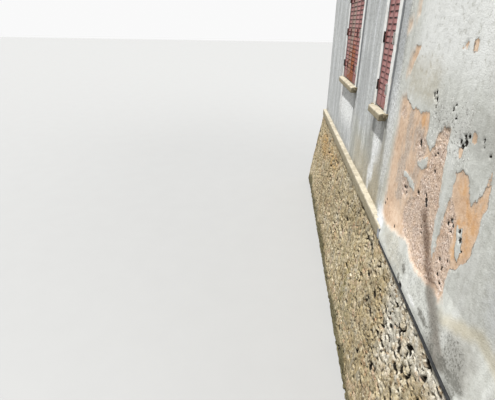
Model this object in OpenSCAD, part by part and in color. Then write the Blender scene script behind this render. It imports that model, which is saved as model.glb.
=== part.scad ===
/* [House] */
// Length of the river front, measured on the upper wall
front_length = 8400; // [7600:100:10000]
// Depth from the river front to the landward front, measured on the upper walls
house_depth = 6400; // [5800:100:7600]
// Thickness of the upper walls
wall_thickness = 500; // [400:10:600]
// Height of the upper walls from the base to the eaves
wall_height = 5590; // [5350:10:6300]
// Height from the ground floor to the upper floor
storey_height = 2700; // [2500:10:2800]
// Thickness of the upper floor
upper_floor_thickness = 220; // [160:10:280]

/* [Rubble base] */
// Height of the base above the water line
base_height = 1560; // [1200:20:2400]
// How far the top of the base stands out past the upper walls
base_set_off = 55; // [45:5:140]
// How far the foot of the base stands out past the upper walls
base_foot = 258; // [180:2:360]
// Width of the ledge inside the base that carries the floor
floor_ledge = 120; // [80:5:200]

/* [String course] */
// Height of the string course
course_height = 125; // [45:5:220]
// Height of the ground floor above the string course
floor_above_course = 145; // [80:5:200]
// How far the string course stands out past the upper walls
course_projection = 60; // [50:5:160]
// Fall of the weathered top of the string course
course_fall = 6; // [5:1:40]
// Length of string course left on the river front, from the far corner
course_left = 5430; // [4000:10:6600]

/* [Lead flashing] */
// Thickness of the lead and its mortar bed at the edge of the base
lead_edge = 12; // [8:1:20]
// Height of the lead and its mortar bed against the wall
lead_upstand = 45; // [30:1:80]
// Depth of the drip that hangs over the edge of the base
lead_drip = 25; // [15:1:45]
// Thickness of the drip
lead_lip = 6; // [4:1:10]

/* [Skirt of the render] */
// Height of the skirt over the base, where the string course has gone
skirt_height = 400; // [300:10:600]
// Thickness of the lower edge of the skirt
skirt_edge = 25; // [15:1:50]
// How far the skirt stays back from the edge of the lead
skirt_inset = 7; // [4:1:15]

/* [Windows] */
// Distance from the far corner to the wide river window
wide_window_start = 2010; // [1400:2:2200]
// Width of the wide windows
wide_window_width = 1080; // [900:2:1300]
// Distance from the far corner to the narrow river window
narrow_window_start = 4400; // [3900:1:5400]
// Width of the narrow river window
narrow_window_width = 370; // [300:2:600]
// Height of the window sills above the floor
sill_level = 774; // [600:2:1000]
// Height of the window openings
window_height = 1300; // [1000:10:1450]
// Height of plain wall between the head of the upper windows and the eaves
upper_head_clearance = 546; // [450:2:700]
// Distance of the landward windows from the middle of the house
landward_window_offset = 2450; // [2200:10:2500]
// Width of the narrow window over the door
door_window_width = 404; // [300:2:600]

/* [Surrounds and sills] */
// Width of the raised band round an opening
band_width = 105; // [70:5:140]
// How far the raised band stands out past the wall
band_projection = 20; // [15:1:45]
// Height of a window sill
sill_height = 78; // [50:2:110]
// How far a window sill stands out past the wall
sill_projection = 75; // [60:5:130]
// How far the thick part of a sill runs past the opening at each side
sill_end = 70; // [40:5:90]
// How far the thin horn of a sill runs past its thick part
sill_horn = 55; // [30:5:90]
// How far the horn of a sill stands out past the wall
horn_projection = 38; // [32:1:55]
// Thickness of the horn of a sill
horn_height = 40; // [25:1:48]
// Depth of the seat that holds a sill in the wall
sill_seat = 180; // [120:10:260]
// Fall of the top of a sill towards its front edge
sill_fall = 10; // [4:1:20]

/* [Shutters] */
// How far the leaves lie behind the face of the raised band
shutter_recess = 8; // [4:1:60]
// Thickness of a leaf
leaf_thickness = 26; // [20:1:40]
// Width of the plain edge strips of a leaf
stile_width = 24; // [16:1:34]
// Height of the plain strip at the top of a leaf
top_rail = 40; // [25:5:80]
// Height of the plain strip at the bottom of a leaf
bottom_rail = 62; // [40:2:90]
// Height of one louvre
louvre_pitch = 54; // [40:1:70]
// Height of the slit below each louvre
louvre_slit = 9; // [6:1:14]
// How far each louvre is pressed out of the sheet
louvre_depth = 14; // [8:1:18]
// How far the louvre lips lie behind the face of the leaf
lip_recess = 1; // [0.5:0.5:3]
// Gap between neighbouring leaves
leaf_gap = 3; // [2:0.5:5]
// Gap between a leaf and the side of its opening
jamb_gap = 5; // [3:0.5:8]
// Gap below the leaves
foot_gap = 16; // [8:1:24]
// Gap above the leaves
head_gap = 6; // [4:1:10]

/* [Shutter hinges] */
// Height of a hinge
hinge_height = 100; // [70:5:130]
// Radius of a hinge knuckle
knuckle_radius = 9; // [6:0.5:12]
// Thickness of the hinge plates
hinge_plate = 4; // [3:0.5:6]
// Width of a hinge plate
hinge_width = 28; // [24:1:46]
// Distance of the outer hinges from the foot and the head of a leaf
hinge_inset = 145; // [80:5:220]
// Number of hinges up a leaf
hinge_rows = 3; // [2:1:4]

/* [Door] */
// Width of the doorway
door_width = 1000; // [800:10:1200]
// Height of the doorway above the floor
door_height = 2050; // [1900:10:2200]
// Height of the threshold stone
threshold_height = 60; // [30:5:90]
// How far the threshold stone stands out past the wall
threshold_projection = 70; // [40:5:95]
// Width and depth of the door frame
frame_size = 70; // [50:5:90]
// How far the door frame lies behind the wall face
frame_recess = 120; // [60:5:200]
// Thickness of the door leaf
door_thickness = 45; // [35:1:60]
// Gap round the door leaf
door_gap = 4; // [3:0.5:6]

/* [Door ironwork] */
// Height of a strap hinge
strap_height = 50; // [36:2:70]
// Thickness of the strap hinges and of the lock plate
strap_thickness = 6; // [5:0.5:8]
// Length of a strap hinge on the leaf
strap_length = 550; // [300:10:600]
// How far a strap hinge laps onto the door frame
strap_lap = 35; // [20:5:45]
// Distance of the strap hinges from the foot and the head of the leaf
strap_inset = 300; // [150:10:400]
// Width of the lock plate
lock_width = 46; // [36:2:60]
// Height of the lock plate
lock_height = 200; // [140:10:260]
// Distance of the lock plate's middle from the edge of the leaf
lock_inset = 66; // [50:2:90]
// Height of the lock above the threshold
lock_level = 1000; // [900:10:1100]
// Radius of the knob
knob_radius = 12; // [10:1:16]
// Length of the knob
knob_length = 50; // [40:2:70]

/* [Roof] */
// Slope of the roof in degrees
roof_pitch = 38; // [30:1:45]
// Overhang of the roof past the long walls, measured level
eaves_overhang = 380; // [300:10:500]
// Overhang of the roof past the gable walls
verge_overhang = 150; // [80:10:230]
// Thickness of the boards, battens and tiles together
roof_thickness = 110; // [90:5:140]
// Width of a roof tile
tile_width = 202; // [180:2:260]
// Width of the roll at the side of a roof tile
roll_width = 28; // [20:2:50]
// Distance of a roll from the side of its tile
roll_inset = 8; // [4:1:20]
// Height of a roll over the pan of its tile
roll_height = 30; // [16:2:36]
// Depth of the rafters
rafter_depth = 120; // [100:5:160]
// Width of the rafters
rafter_width = 80; // [60:5:110]
// Distance between rafters
rafter_spacing = 600; // [450:10:900]
// Thickness of the ridge board between the rafters
ridge_board = 30; // [24:2:50]
// Depth of the ridge board
ridge_board_depth = 200; // [180:10:260]
// How far the rafter feet stop short of the roof edge
rafter_set_back = 60; // [40:5:110]
// Radius of the ridge tiles
ridge_radius = 130; // [110:5:160]
// Radius of the collars on the ridge tiles
collar_radius = 142; // [130:2:175]
// Length of one ridge tile
ridge_tile_length = 400; // [330:10:500]
// Length of the collar on a ridge tile
collar_length = 60; // [40:5:80]
// Depth of the ridge tiles' axis below the top of the slopes
ridge_drop = 60; // [40:5:80]

/* [Gutters] */
// Radius of a gutter
gutter_radius = 62; // [50:1:80]
// Thickness of the gutter sheet
gutter_sheet = 4; // [3:0.5:6]
// Height of the gutter's back above its axis
gutter_back = 40; // [25:1:60]
// Height of the gutter's axis above the underside of the roof edge
gutter_lift = 20; // [10:1:40]

/* [Downpipes] */
// Radius of a downpipe
pipe_radius = 40; // [30:1:44]
// Radius of the sockets and bends of a downpipe
socket_radius = 46; // [46:1:58]
// Height of a socket
socket_height = 60; // [40:5:90]
// Gap between a downpipe and the wall
pipe_stand_off = 30; // [20:5:60]
// Distance from the corner of the house to a downpipe
pipe_from_corner = 200; // [150:10:400]
// Height of a downpipe's foot above the ground floor
pipe_foot = 150; // [100:10:400]
// Length of the outlet under the gutter
pipe_outlet = 90; // [60:10:160]
// Fall of the neck under the eaves in degrees
neck_fall = 45; // [30:5:60]
// Distance between pipe clips
clip_spacing = 1500; // [1000:100:2200]
// Width of a pipe clip's shank
clip_width = 24; // [16:2:36]

/* [Chimney] */
// Size of the stack along the ridge
stack_length = 450; // [380:10:480]
// Size of the stack across the ridge
stack_width = 700; // [600:10:900]
// Distance from the outer face of the far gable to the stack
stack_set_back = 10; // [0:5:15]
// Height of the stack above the ridge
stack_rise = 900; // [600:20:1200]
// Thickness of the brickwork round the flue
stack_wall = 110; // [100:5:140]
// Thickness of the chimney cap
cap_thickness = 80; // [60:5:120]
// How far the chimney cap stands out past the stack
cap_projection = 50; // [30:5:70]
// Outer radius of a chimney pot
pot_radius = 115; // [100:5:130]
// Thickness of a chimney pot
pot_wall = 22; // [16:1:30]
// Height of a chimney pot
pot_height = 320; // [240:10:420]

/* [Hidden] */

half_length = front_length / 2;
half_depth = house_depth / 2;
room_half_length = half_length - wall_thickness;
room_half_depth = half_depth - wall_thickness;
base_inner_x = room_half_length - floor_ledge;
base_inner_y = room_half_depth - floor_ledge;
foot_half_length = half_length + base_foot;
foot_half_depth = half_depth + base_foot;
course_top_z = base_height + course_height;
floor_z = course_top_z + floor_above_course;
eaves_z = base_height + wall_height;
upper_floor_z = floor_z + storey_height;
sill_z = floor_z + sill_level;
// How far the upper windows stand above those of the ground floor: they hang below the eaves
window_rise = eaves_z - upper_head_clearance - window_height - sill_z;
// Cuts run this far past the faces that they open
cut = 20;

course_half_length = half_length + course_projection;
lead_reach = base_set_off + lead_lip;
skirt_reach = lead_reach - skirt_inset;
set_off_half_length = half_length + base_set_off;

wide_window_x = wide_window_start + wide_window_width / 2 - half_length;
narrow_window_x = narrow_window_start + narrow_window_width / 2 - half_length;
wide_leaf_count = 4;
narrow_leaf_count = 2;
leaf_face = shutter_recess - band_projection;
leaf_height = window_height - foot_gap - head_gap;
hinge_step = (leaf_height - 2 * hinge_inset - hinge_height) / (hinge_rows - 1);

door_foot_z = floor_z + threshold_height;
door_head_z = floor_z + door_height;
door_leaf_half_width = door_width / 2 - frame_size - door_gap;
door_leaf_low_z = door_foot_z + door_gap;
door_leaf_high_z = door_head_z - frame_size - door_gap;
door_face = frame_recess + door_gap;

roof_slope = tan(roof_pitch);
rafter_rise = rafter_depth / cos(roof_pitch);
roof_rise = roof_thickness / cos(roof_pitch);
pan_rise = (roof_thickness - roll_height) / cos(roof_pitch);
roof_half_length = half_length + verge_overhang;
roof_half_depth = half_depth + eaves_overhang;
tile_columns = round(2 * roof_half_length / tile_width);
tile_pitch = 2 * roof_half_length / tile_columns;
rafter_half_depth = roof_half_depth - rafter_set_back;
gutter_axis_z = roof_line(roof_half_depth) + rafter_rise + gutter_lift;
ridge_z = roof_line(0) + rafter_rise + roof_rise;
rafter_room = 2 * room_half_length - rafter_width;
rafter_bays = ceil(rafter_room / rafter_spacing);

stack_near_x = stack_set_back + stack_length - half_length;
stack_far_x = stack_set_back - half_length;
stack_foot_z = roof_line(stack_width / 2);
stack_top_z = ridge_z + stack_rise;
pot_offset = stack_width / 4;

masonry = [0.69, 0.61, 0.46];
render_grey = [0.82, 0.82, 0.79];
limestone = [0.88, 0.80, 0.65];
band_white = [0.87, 0.87, 0.85];
shutter_red = [0.67, 0.45, 0.42];
iron_black = [0.12, 0.11, 0.11];
lead_grey = [0.55, 0.58, 0.62];
timber = [0.45, 0.36, 0.27];
clay = [0.62, 0.36, 0.25];
brick = [0.60, 0.34, 0.25];
zinc = [0.60, 0.62, 0.64];

// Height of the rafters' underside at a distance from the ridge line
function roof_line(y) = eaves_z + (half_depth - abs(y)) * roof_slope;

// Cross-section of the base through walls that stand half a width from the middle
function base_outline(half) = [
    [-half - base_foot, 0],
    [half + base_foot, 0],
    [half + base_set_off, base_height],
    [-half - base_set_off, base_height]
];

// A y-z profile run along the house from x0 to x1
module along_house(profile, x0, x1) {
    translate([x0, 0, 0])
        rotate([90, 0, 90])
            linear_extrude(x1 - x0)
                polygon(profile);
}

// An x-z profile run across the house from y0 to y1
module across_house(profile, y0, y1) {
    translate([0, y1, 0])
        rotate([90, 0, 0])
            linear_extrude(y1 - y0)
                polygon(profile);
}

// A box between two corners
module block(low, high) {
    translate(low)
        cube(high - low);
}

// Places what is modelled with the wall face at y = 0 and the outside towards -y, at ground floor level
module on_river_front(x) {
    translate([x, -half_depth, 0])
        children();
}

module on_landward_front(x) {
    translate([x, half_depth, 0])
        rotate([0, 0, 180])
            children();
}

module on_gables() {
    translate([half_length, 0, 0])
        rotate([0, 0, 90])
            children();
    translate([-half_length, 0, 0])
        rotate([0, 0, -90])
            children();
}

// The whole rubble base as one battered mass, from which its four walls are taken
module base_mass() {
    intersection() {
        along_house(base_outline(half_depth), -foot_half_length, foot_half_length);
        across_house(base_outline(half_length), -foot_half_depth, foot_half_depth);
    }
}

module river_base_wall() {
    color(masonry)
        intersection() {
            base_mass();
            block([-foot_half_length, -foot_half_depth, 0],
                  [foot_half_length, -base_inner_y, base_height]);
        }
}

module landward_base_wall() {
    mirror([0, 1, 0])
        river_base_wall();
}

module near_base_wall() {
    color(masonry)
        intersection() {
            base_mass();
            block([base_inner_x, -base_inner_y, 0], [foot_half_length, base_inner_y, base_height]);
        }
}

module far_base_wall() {
    mirror([1, 0, 0])
        near_base_wall();
}

// Long wall on the river side, with its top cut to the slope of the rafters
module long_wall() {
    along_house([
        [-half_depth, base_height],
        [-room_half_depth, base_height],
        [-room_half_depth, roof_line(room_half_depth)],
        [-half_depth, eaves_z]
    ], -half_length, half_length);
}

// The hole for a window through a wall, with the seat of its sill
module window_hole(width) {
    block([-width / 2, -cut, sill_z], [width / 2, wall_thickness + cut, sill_z + window_height]);
    block([-width / 2 - sill_end, -cut, sill_z - sill_height], [width / 2 + sill_end, sill_seat, sill_z]);
}

module door_hole() {
    block([-door_width / 2, -cut, floor_z], [door_width / 2, wall_thickness + cut, floor_z + door_height]);
}

// Height of the top of the lead at a distance from the upper wall
function lead_top(out) = base_height + lead_upstand + (lead_edge - lead_upstand) * out / lead_reach;

// Foot of the render, which runs out over the lead to the edge of the base
module render_skirt() {
    along_house([
        [-half_depth + cut, base_height + lead_upstand],
        [-half_depth + cut, base_height + skirt_height],
        [-half_depth, base_height + skirt_height],
        [-half_depth - skirt_reach, lead_top(skirt_reach) + skirt_edge],
        [-half_depth - skirt_reach, lead_top(skirt_reach)],
        [-half_depth, base_height + lead_upstand]
    ], course_left - half_length, half_length);
}

module river_wall() {
    color(render_grey)
        difference() {
            union() {
                long_wall();
                render_skirt();
            }
            for (level = [0, window_rise])
                translate([0, 0, level]) {
                    on_river_front(wide_window_x)
                        window_hole(wide_window_width);
                    on_river_front(narrow_window_x)
                        window_hole(narrow_window_width);
                }
        }
}

module landward_wall() {
    color(render_grey)
        difference() {
            mirror([0, 1, 0])
                long_wall();
            for (level = [0, window_rise])
                translate([0, 0, level])
                    at_landward_windows()
                        window_hole(wide_window_width);
            on_landward_front(0) {
                door_hole();
                translate([0, 0, window_rise])
                    window_hole(door_window_width);
            }
        }
}

// Gable wall at the near end: its head runs over the long walls up to the roof boards
module gable_wall() {
    along_house([
        [-room_half_depth, base_height],
        [room_half_depth, base_height],
        [room_half_depth, roof_line(room_half_depth)],
        [half_depth, eaves_z],
        [half_depth, eaves_z + rafter_rise],
        [0, roof_line(0) + rafter_rise],
        [-half_depth, eaves_z + rafter_rise],
        [-half_depth, eaves_z],
        [-room_half_depth, roof_line(room_half_depth)]
    ], room_half_length, half_length);
}

// The space that the chimney stack takes from the roof and the far gable
module stack_space(low_z, high_z) {
    block([stack_far_x, -stack_width / 2, low_z], [stack_near_x, stack_width / 2, high_z]);
}

module gable_window_holes() {
    for (level = [0, window_rise])
        translate([0, 0, level])
            on_gables()
                window_hole(wide_window_width);
}

module near_gable_wall() {
    color(render_grey)
        difference() {
            gable_wall();
            gable_window_holes();
        }
}

module far_gable_wall() {
    color(render_grey)
        difference() {
            mirror([1, 0, 0])
                gable_wall();
            gable_window_holes();
            stack_space(stack_foot_z, stack_top_z);
        }
}

// Section of the string course on the river side, on top of the base
function course_section(face) = [
    [-face, base_height],
    [-face, course_top_z],
    [-face - course_projection, course_top_z - course_fall],
    [-face - course_projection, base_height]
];

module river_string_course() {
    color(limestone)
        along_house(course_section(half_depth), -course_half_length, course_left - half_length);
}

module landward_string_course() {
    color(limestone)
        mirror([0, 1, 0])
            along_house(course_section(half_depth), -course_half_length, course_half_length);
}

module end_string_courses() {
    color(limestone)
        for (side = [0, 1])
            mirror([side, 0, 0])
                mirror([1, 0, 0])
                    across_house(course_section(half_length), -half_depth, half_depth);
}

// Lead dressed over a mortar bed where the string course has gone
module lead_flashing() {
    color(lead_grey)
        along_house([
            [-half_depth, base_height],
            [-half_depth, base_height + lead_upstand],
            [-half_depth - lead_reach, base_height + lead_edge],
            [-half_depth - lead_reach, base_height - lead_drip],
            [-half_depth - lead_reach + lead_lip / 3, base_height - lead_drip],
            [-half_depth - base_set_off, base_height]
        ], course_left - half_length, half_length);
}

// Raised band at both sides and over the top of an opening
module surround(width, low_z, high_z) {
    difference() {
        block([-width / 2 - band_width, -band_projection, low_z],
              [width / 2 + band_width, 0, high_z + band_width]);
        block([-width / 2, -band_projection - cut, low_z - cut], [width / 2, cut, high_z]);
    }
}

module window_surround(width) {
    color(band_white)
        surround(width, sill_z, sill_z + window_height);
}

// Stone sill: a thick part let into the wall, and a thin horn past it at each side
module window_sill(width) {
    body = width / 2 + sill_end;
    color(limestone)
        union() {
            along_house([
                [-sill_projection, sill_z - sill_height],
                [sill_seat, sill_z - sill_height],
                [sill_seat, sill_z],
                [-horn_projection, sill_z],
                [-sill_projection, sill_z - sill_fall]
            ], -body, body);
            block([-body - sill_horn, -horn_projection, sill_z - horn_height],
                  [body + sill_horn, 0, sill_z]);
        }
}

function leaf_width(width, count) = (width - 2 * jamb_gap - (count - 1) * leaf_gap) / count;
function leaf_left(width, count, index) =
    -width / 2 + jamb_gap + index * (leaf_width(width, count) + leaf_gap);

// Sheet of a leaf, pressed into louvres that lean out over a slit
module louvred_sheet(x0, x1) {
    low = sill_z + foot_gap + bottom_rail;
    high = sill_z + foot_gap + leaf_height - top_rail;
    rows = floor((high - low) / louvre_pitch);
    start = high - rows * louvre_pitch;
    back = leaf_face + leaf_thickness;
    sunk = leaf_face + louvre_depth;
    along_house(concat(
        [[back, high], [back, low], [leaf_face, low], [leaf_face, start]],
        [for (row = [0 : rows - 1], point = [
            [sunk, start + row * louvre_pitch],
            [sunk, start + row * louvre_pitch + louvre_slit],
            [leaf_face + lip_recess, start + row * louvre_pitch + louvre_slit],
            [sunk, start + (row + 1) * louvre_pitch]
        ]) point]
    ), x0, x1);
}

// One folding leaf of a pressed sheet shutter, numbered from the left as seen from outside
module shutter_leaf(width, count, index) {
    left = leaf_left(width, count, index);
    right = left + leaf_width(width, count);
    low = sill_z + foot_gap;
    high = low + leaf_height;
    back = leaf_face + leaf_thickness;
    color(shutter_red)
        union() {
            louvred_sheet(left + stile_width, right - stile_width);
            block([left, leaf_face, low], [left + stile_width, back, high]);
            block([right - stile_width, leaf_face, low], [right, back, high]);
            block([left + stile_width, leaf_face, low], [right - stile_width, back, low + bottom_rail]);
            block([left + stile_width, leaf_face, high - top_rail], [right - stile_width, back, high]);
        }
}

module shutter_leaves(width, count) {
    for (index = [0 : count - 1])
        shutter_leaf(width, count, index);
}

// Hinge at the left side of an opening: a plate on the leaf, a strap and a knuckle in front of the band
module jamb_hinge(width) {
    jamb = -width / 2;
    strap = jamb + jamb_gap;
    union() {
        block([strap, leaf_face - hinge_plate, 0], [strap + hinge_width, leaf_face, hinge_height]);
        block([strap, -band_projection - knuckle_radius, 0],
              [strap + hinge_plate, leaf_face, hinge_height]);
        block([jamb - hinge_width, -band_projection - hinge_plate, 0],
              [strap + hinge_plate, -band_projection, hinge_height]);
        translate([strap - knuckle_radius / 2, -band_projection - knuckle_radius, 0])
            cylinder(h = hinge_height, r = knuckle_radius, $fn = 24);
    }
}

// Hinge over the seam between two leaves
module fold_hinge(seam) {
    union() {
        block([seam - hinge_width / 2, leaf_face - hinge_plate, 0],
              [seam + hinge_width / 2, leaf_face, hinge_height]);
        translate([seam, leaf_face - hinge_plate - knuckle_radius / 2, 0])
            cylinder(h = hinge_height, r = knuckle_radius / 2 + hinge_plate / 2, $fn = 24);
    }
}

module shutter_hinges(width, count) {
    color(iron_black)
        for (row = [0 : hinge_rows - 1])
            translate([0, 0, sill_z + foot_gap + hinge_inset + row * hinge_step]) {
                jamb_hinge(width);
                mirror([1, 0, 0])
                    jamb_hinge(width);
                if (count > 2)
                    for (side = [0, 1])
                        mirror([side, 0, 0])
                            fold_hinge(leaf_left(width, count, 1) - leaf_gap / 2);
            }
}

module wide_window_surround() {
    on_river_front(wide_window_x)
        window_surround(wide_window_width);
}

module wide_window_sill() {
    on_river_front(wide_window_x)
        window_sill(wide_window_width);
}

module wide_shutter_leaf(index) {
    on_river_front(wide_window_x)
        shutter_leaf(wide_window_width, wide_leaf_count, index);
}

module narrow_window_surround() {
    on_river_front(narrow_window_x)
        window_surround(narrow_window_width);
}

module narrow_window_sill() {
    on_river_front(narrow_window_x)
        window_sill(narrow_window_width);
}

module narrow_shutter_leaf(index) {
    on_river_front(narrow_window_x)
        shutter_leaf(narrow_window_width, narrow_leaf_count, index);
}

module river_shutter_hinges() {
    on_river_front(wide_window_x)
        shutter_hinges(wide_window_width, wide_leaf_count);
    on_river_front(narrow_window_x)
        shutter_hinges(narrow_window_width, narrow_leaf_count);
}

// Repeats a piece at both windows of the landward front
module at_landward_windows() {
    for (x = [-landward_window_offset, landward_window_offset])
        on_landward_front(x)
            children();
}

// Repeats a piece at the ground floor windows of the landward front and of both gables
module at_ground_windows() {
    at_landward_windows()
        children();
    on_gables()
        children();
}

module ground_window_surrounds() {
    at_ground_windows()
        window_surround(wide_window_width);
}

module ground_window_sills() {
    at_ground_windows()
        window_sill(wide_window_width);
}

module ground_shutters() {
    at_ground_windows()
        shutter_leaves(wide_window_width, wide_leaf_count);
}

module ground_shutter_hinges() {
    at_ground_windows()
        shutter_hinges(wide_window_width, wide_leaf_count);
}

// The upper windows stand over the ground floor windows and over the door
module at_upper_wide_windows() {
    translate([0, 0, window_rise]) {
        on_river_front(wide_window_x)
            children();
        at_ground_windows()
            children();
    }
}

module at_upper_river_narrow_window() {
    translate([0, 0, window_rise])
        on_river_front(narrow_window_x)
            children();
}

module at_upper_door_window() {
    translate([0, 0, window_rise])
        on_landward_front(0)
            children();
}

module upper_window_surrounds() {
    at_upper_wide_windows()
        window_surround(wide_window_width);
    at_upper_river_narrow_window()
        window_surround(narrow_window_width);
    at_upper_door_window()
        window_surround(door_window_width);
}

module upper_window_sills() {
    at_upper_wide_windows()
        window_sill(wide_window_width);
    at_upper_river_narrow_window()
        window_sill(narrow_window_width);
    at_upper_door_window()
        window_sill(door_window_width);
}

module upper_shutters() {
    at_upper_wide_windows()
        shutter_leaves(wide_window_width, wide_leaf_count);
    at_upper_river_narrow_window()
        shutter_leaves(narrow_window_width, narrow_leaf_count);
    at_upper_door_window()
        shutter_leaves(door_window_width, narrow_leaf_count);
}

module upper_shutter_hinges() {
    at_upper_wide_windows()
        shutter_hinges(wide_window_width, wide_leaf_count);
    at_upper_river_narrow_window()
        shutter_hinges(narrow_window_width, narrow_leaf_count);
    at_upper_door_window()
        shutter_hinges(door_window_width, narrow_leaf_count);
}

module door_surround() {
    color(band_white)
        on_landward_front(0)
            surround(door_width, floor_z, door_head_z);
}

// Stone on the floor of the doorway, which stands out past the wall
module door_threshold() {
    color(limestone)
        on_landward_front(0)
            block([-door_width / 2, -threshold_projection, floor_z],
                  [door_width / 2, wall_thickness, door_foot_z]);
}

module door_frame() {
    frame_inside = door_width / 2 - frame_size;
    color(timber)
        on_landward_front(0)
            difference() {
                block([-door_width / 2, frame_recess, door_foot_z],
                      [door_width / 2, frame_recess + frame_size, door_head_z]);
                block([-frame_inside, frame_recess - cut, door_foot_z - cut],
                      [frame_inside, frame_recess + frame_size + cut, door_head_z - frame_size]);
            }
}

module door_leaf() {
    color(shutter_red)
        on_landward_front(0)
            block([-door_leaf_half_width, door_face, door_leaf_low_z],
                  [door_leaf_half_width, door_face + door_thickness, door_leaf_high_z]);
}

// Strap hinges, which reach over the frame, and the lock plate with its knob
module door_ironwork() {
    color(iron_black)
        on_landward_front(0) {
            for (z = [door_leaf_low_z + strap_inset, door_leaf_high_z - strap_inset - strap_height])
                union() {
                    block([-door_leaf_half_width, door_face - strap_thickness, z],
                          [strap_length - door_leaf_half_width, door_face, z + strap_height]);
                    block([-door_leaf_half_width - door_gap - strap_lap, frame_recess - strap_thickness, z],
                          [-door_leaf_half_width + strap_thickness, frame_recess, z + strap_height]);
                }
            translate([door_leaf_half_width - lock_inset, door_face, door_foot_z + lock_level])
                union() {
                    block([-lock_width / 2, -strap_thickness, -lock_height / 2],
                          [lock_width / 2, 0, lock_height / 2]);
                    rotate([90, 0, 0])
                        cylinder(h = knob_length, r = knob_radius, $fn = 24);
                }
        }
}

module ground_floor() {
    color(timber)
        block([-room_half_length, -room_half_depth, base_height],
              [room_half_length, room_half_depth, floor_z]);
}

// Floor between the upper walls, built into them on all four sides
module upper_floor() {
    color(timber)
        block([-room_half_length, -room_half_depth, upper_floor_z - upper_floor_thickness],
              [room_half_length, room_half_depth, upper_floor_z]);
}

// Side view of a slope on the river side, from its edge to its head, both as distances from the ridge line
function slope_outline(edge, head, low_lift, high_lift) = [
    [-edge, roof_line(edge) + low_lift],
    [-head, roof_line(head) + low_lift],
    [-head, roof_line(head) + high_lift],
    [-edge, roof_line(edge) + high_lift]
];

module rafters() {
    color(timber)
        for (bay = [0 : rafter_bays], side = [0, 1]) {
            x = -room_half_length + bay * rafter_room / rafter_bays;
            outline = slope_outline(rafter_half_depth, ridge_board / 2, 0, rafter_rise);
            mirror([0, side, 0])
                along_house(outline, x, x + rafter_width);
        }
}

// Board on edge between the heads of the rafters
module ridge_beam() {
    top_z = roof_line(ridge_board / 2) + rafter_rise;
    color(timber)
        block([-room_half_length, -ridge_board / 2, top_z - ridge_board_depth],
              [room_half_length, ridge_board / 2, top_z]);
}

// Rolls that run down the river slope, one at the side of each column of tiles
module tile_rolls() {
    outline = slope_outline(roof_half_depth, 0, rafter_rise, rafter_rise + roof_rise);
    for (column = [0 : tile_columns - 1]) {
        x = column * tile_pitch + roll_inset - roof_half_length;
        along_house(outline, x, x + roll_width);
    }
}

// A roof slope on the river side, with its rolls at the left or, turned, at the right of the tiles
module roof_slope(turned) {
    difference() {
        union() {
            along_house(slope_outline(roof_half_depth, 0, rafter_rise, rafter_rise + pan_rise),
                        -roof_half_length, roof_half_length);
            mirror([turned, 0, 0])
                tile_rolls();
        }
        stack_space(stack_foot_z, stack_top_z);
    }
}

module river_roof_slope() {
    color(clay)
        roof_slope(0);
}

module landward_roof_slope() {
    color(clay)
        mirror([0, 1, 0])
            roof_slope(1);
}

// Half-round ridge tiles in mortar, with a collar where one laps the next
module ridge_tiles() {
    tiles = ceil(2 * roof_half_length / ridge_tile_length);
    pitch = 2 * roof_half_length / tiles;
    color(clay)
        difference() {
            translate([-roof_half_length, 0, ridge_z - ridge_drop])
                rotate([0, 90, 0])
                    union() {
                        cylinder(h = 2 * roof_half_length, r = ridge_radius, $fn = 48);
                        for (tile = [0 : tiles - 1])
                            translate([0, 0, tile * pitch])
                                cylinder(h = collar_length, r = collar_radius, $fn = 48);
                    }
            along_house([
                [-roof_half_depth, ridge_z - roof_half_depth * roof_slope],
                [roof_half_depth, ridge_z - roof_half_depth * roof_slope],
                [0, ridge_z]
            ], -roof_half_length - cut, roof_half_length + cut);
            stack_space(stack_foot_z, stack_top_z);
        }
}

// Half-round gutter whose back lies against the edge of the roof
module gutter() {
    translate([-roof_half_length, -roof_half_depth - gutter_radius, gutter_axis_z])
        rotate([90, 0, 90])
            linear_extrude(2 * roof_half_length)
                union() {
                    difference() {
                        circle(r = gutter_radius, $fn = 48);
                        circle(r = gutter_radius - gutter_sheet, $fn = 48);
                        translate([-2 * gutter_radius, 0])
                            square([4 * gutter_radius, 2 * gutter_radius]);
                    }
                    translate([gutter_radius - gutter_sheet, 0])
                        square([gutter_sheet, gutter_back]);
                }
}

module gutters() {
    color(zinc)
        for (side = [0, 1])
            mirror([0, side, 0])
                gutter();
}

// Downpipe on the river front: an outlet, a neck under the eaves, and a pipe clipped to the wall
module downpipe() {
    gutter_y = -eaves_overhang - gutter_radius;
    pipe_y = -pipe_stand_off - pipe_radius;
    reach = pipe_y - gutter_y;
    neck_top_z = gutter_axis_z - gutter_radius - pipe_outlet;
    neck_foot_z = neck_top_z - reach * tan(neck_fall);
    foot_z = floor_z + pipe_foot;
    clips = floor((neck_foot_z - foot_z) / clip_spacing);
    difference() {
        union() {
            translate([0, gutter_y, neck_top_z])
                cylinder(h = gutter_axis_z - neck_top_z, r = pipe_radius, $fn = 32);
            translate([0, gutter_y, neck_top_z])
                sphere(r = socket_radius, $fn = 32);
            translate([0, pipe_y, neck_foot_z])
                rotate([90 - neck_fall, 0, 0])
                    cylinder(h = reach / cos(neck_fall), r = pipe_radius, $fn = 32);
            translate([0, pipe_y, neck_foot_z])
                sphere(r = socket_radius, $fn = 32);
            translate([0, pipe_y, foot_z])
                cylinder(h = neck_foot_z - foot_z, r = pipe_radius, $fn = 32);
            for (clip = [0 : clips])
                translate([0, pipe_y, foot_z + clip * clip_spacing]) {
                    cylinder(h = socket_height, r = socket_radius, $fn = 32);
                    block([-clip_width / 2, 0, 0], [clip_width / 2, -pipe_y, socket_height]);
                }
        }
        translate([-2 * pipe_radius, gutter_y, gutter_axis_z])
            rotate([0, 90, 0])
                cylinder(h = 4 * pipe_radius, r = gutter_radius, $fn = 48);
    }
}

module downpipes() {
    color(zinc) {
        on_river_front(half_length - pipe_from_corner)
            downpipe();
        on_landward_front(half_length - pipe_from_corner)
            downpipe();
    }
}

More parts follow.
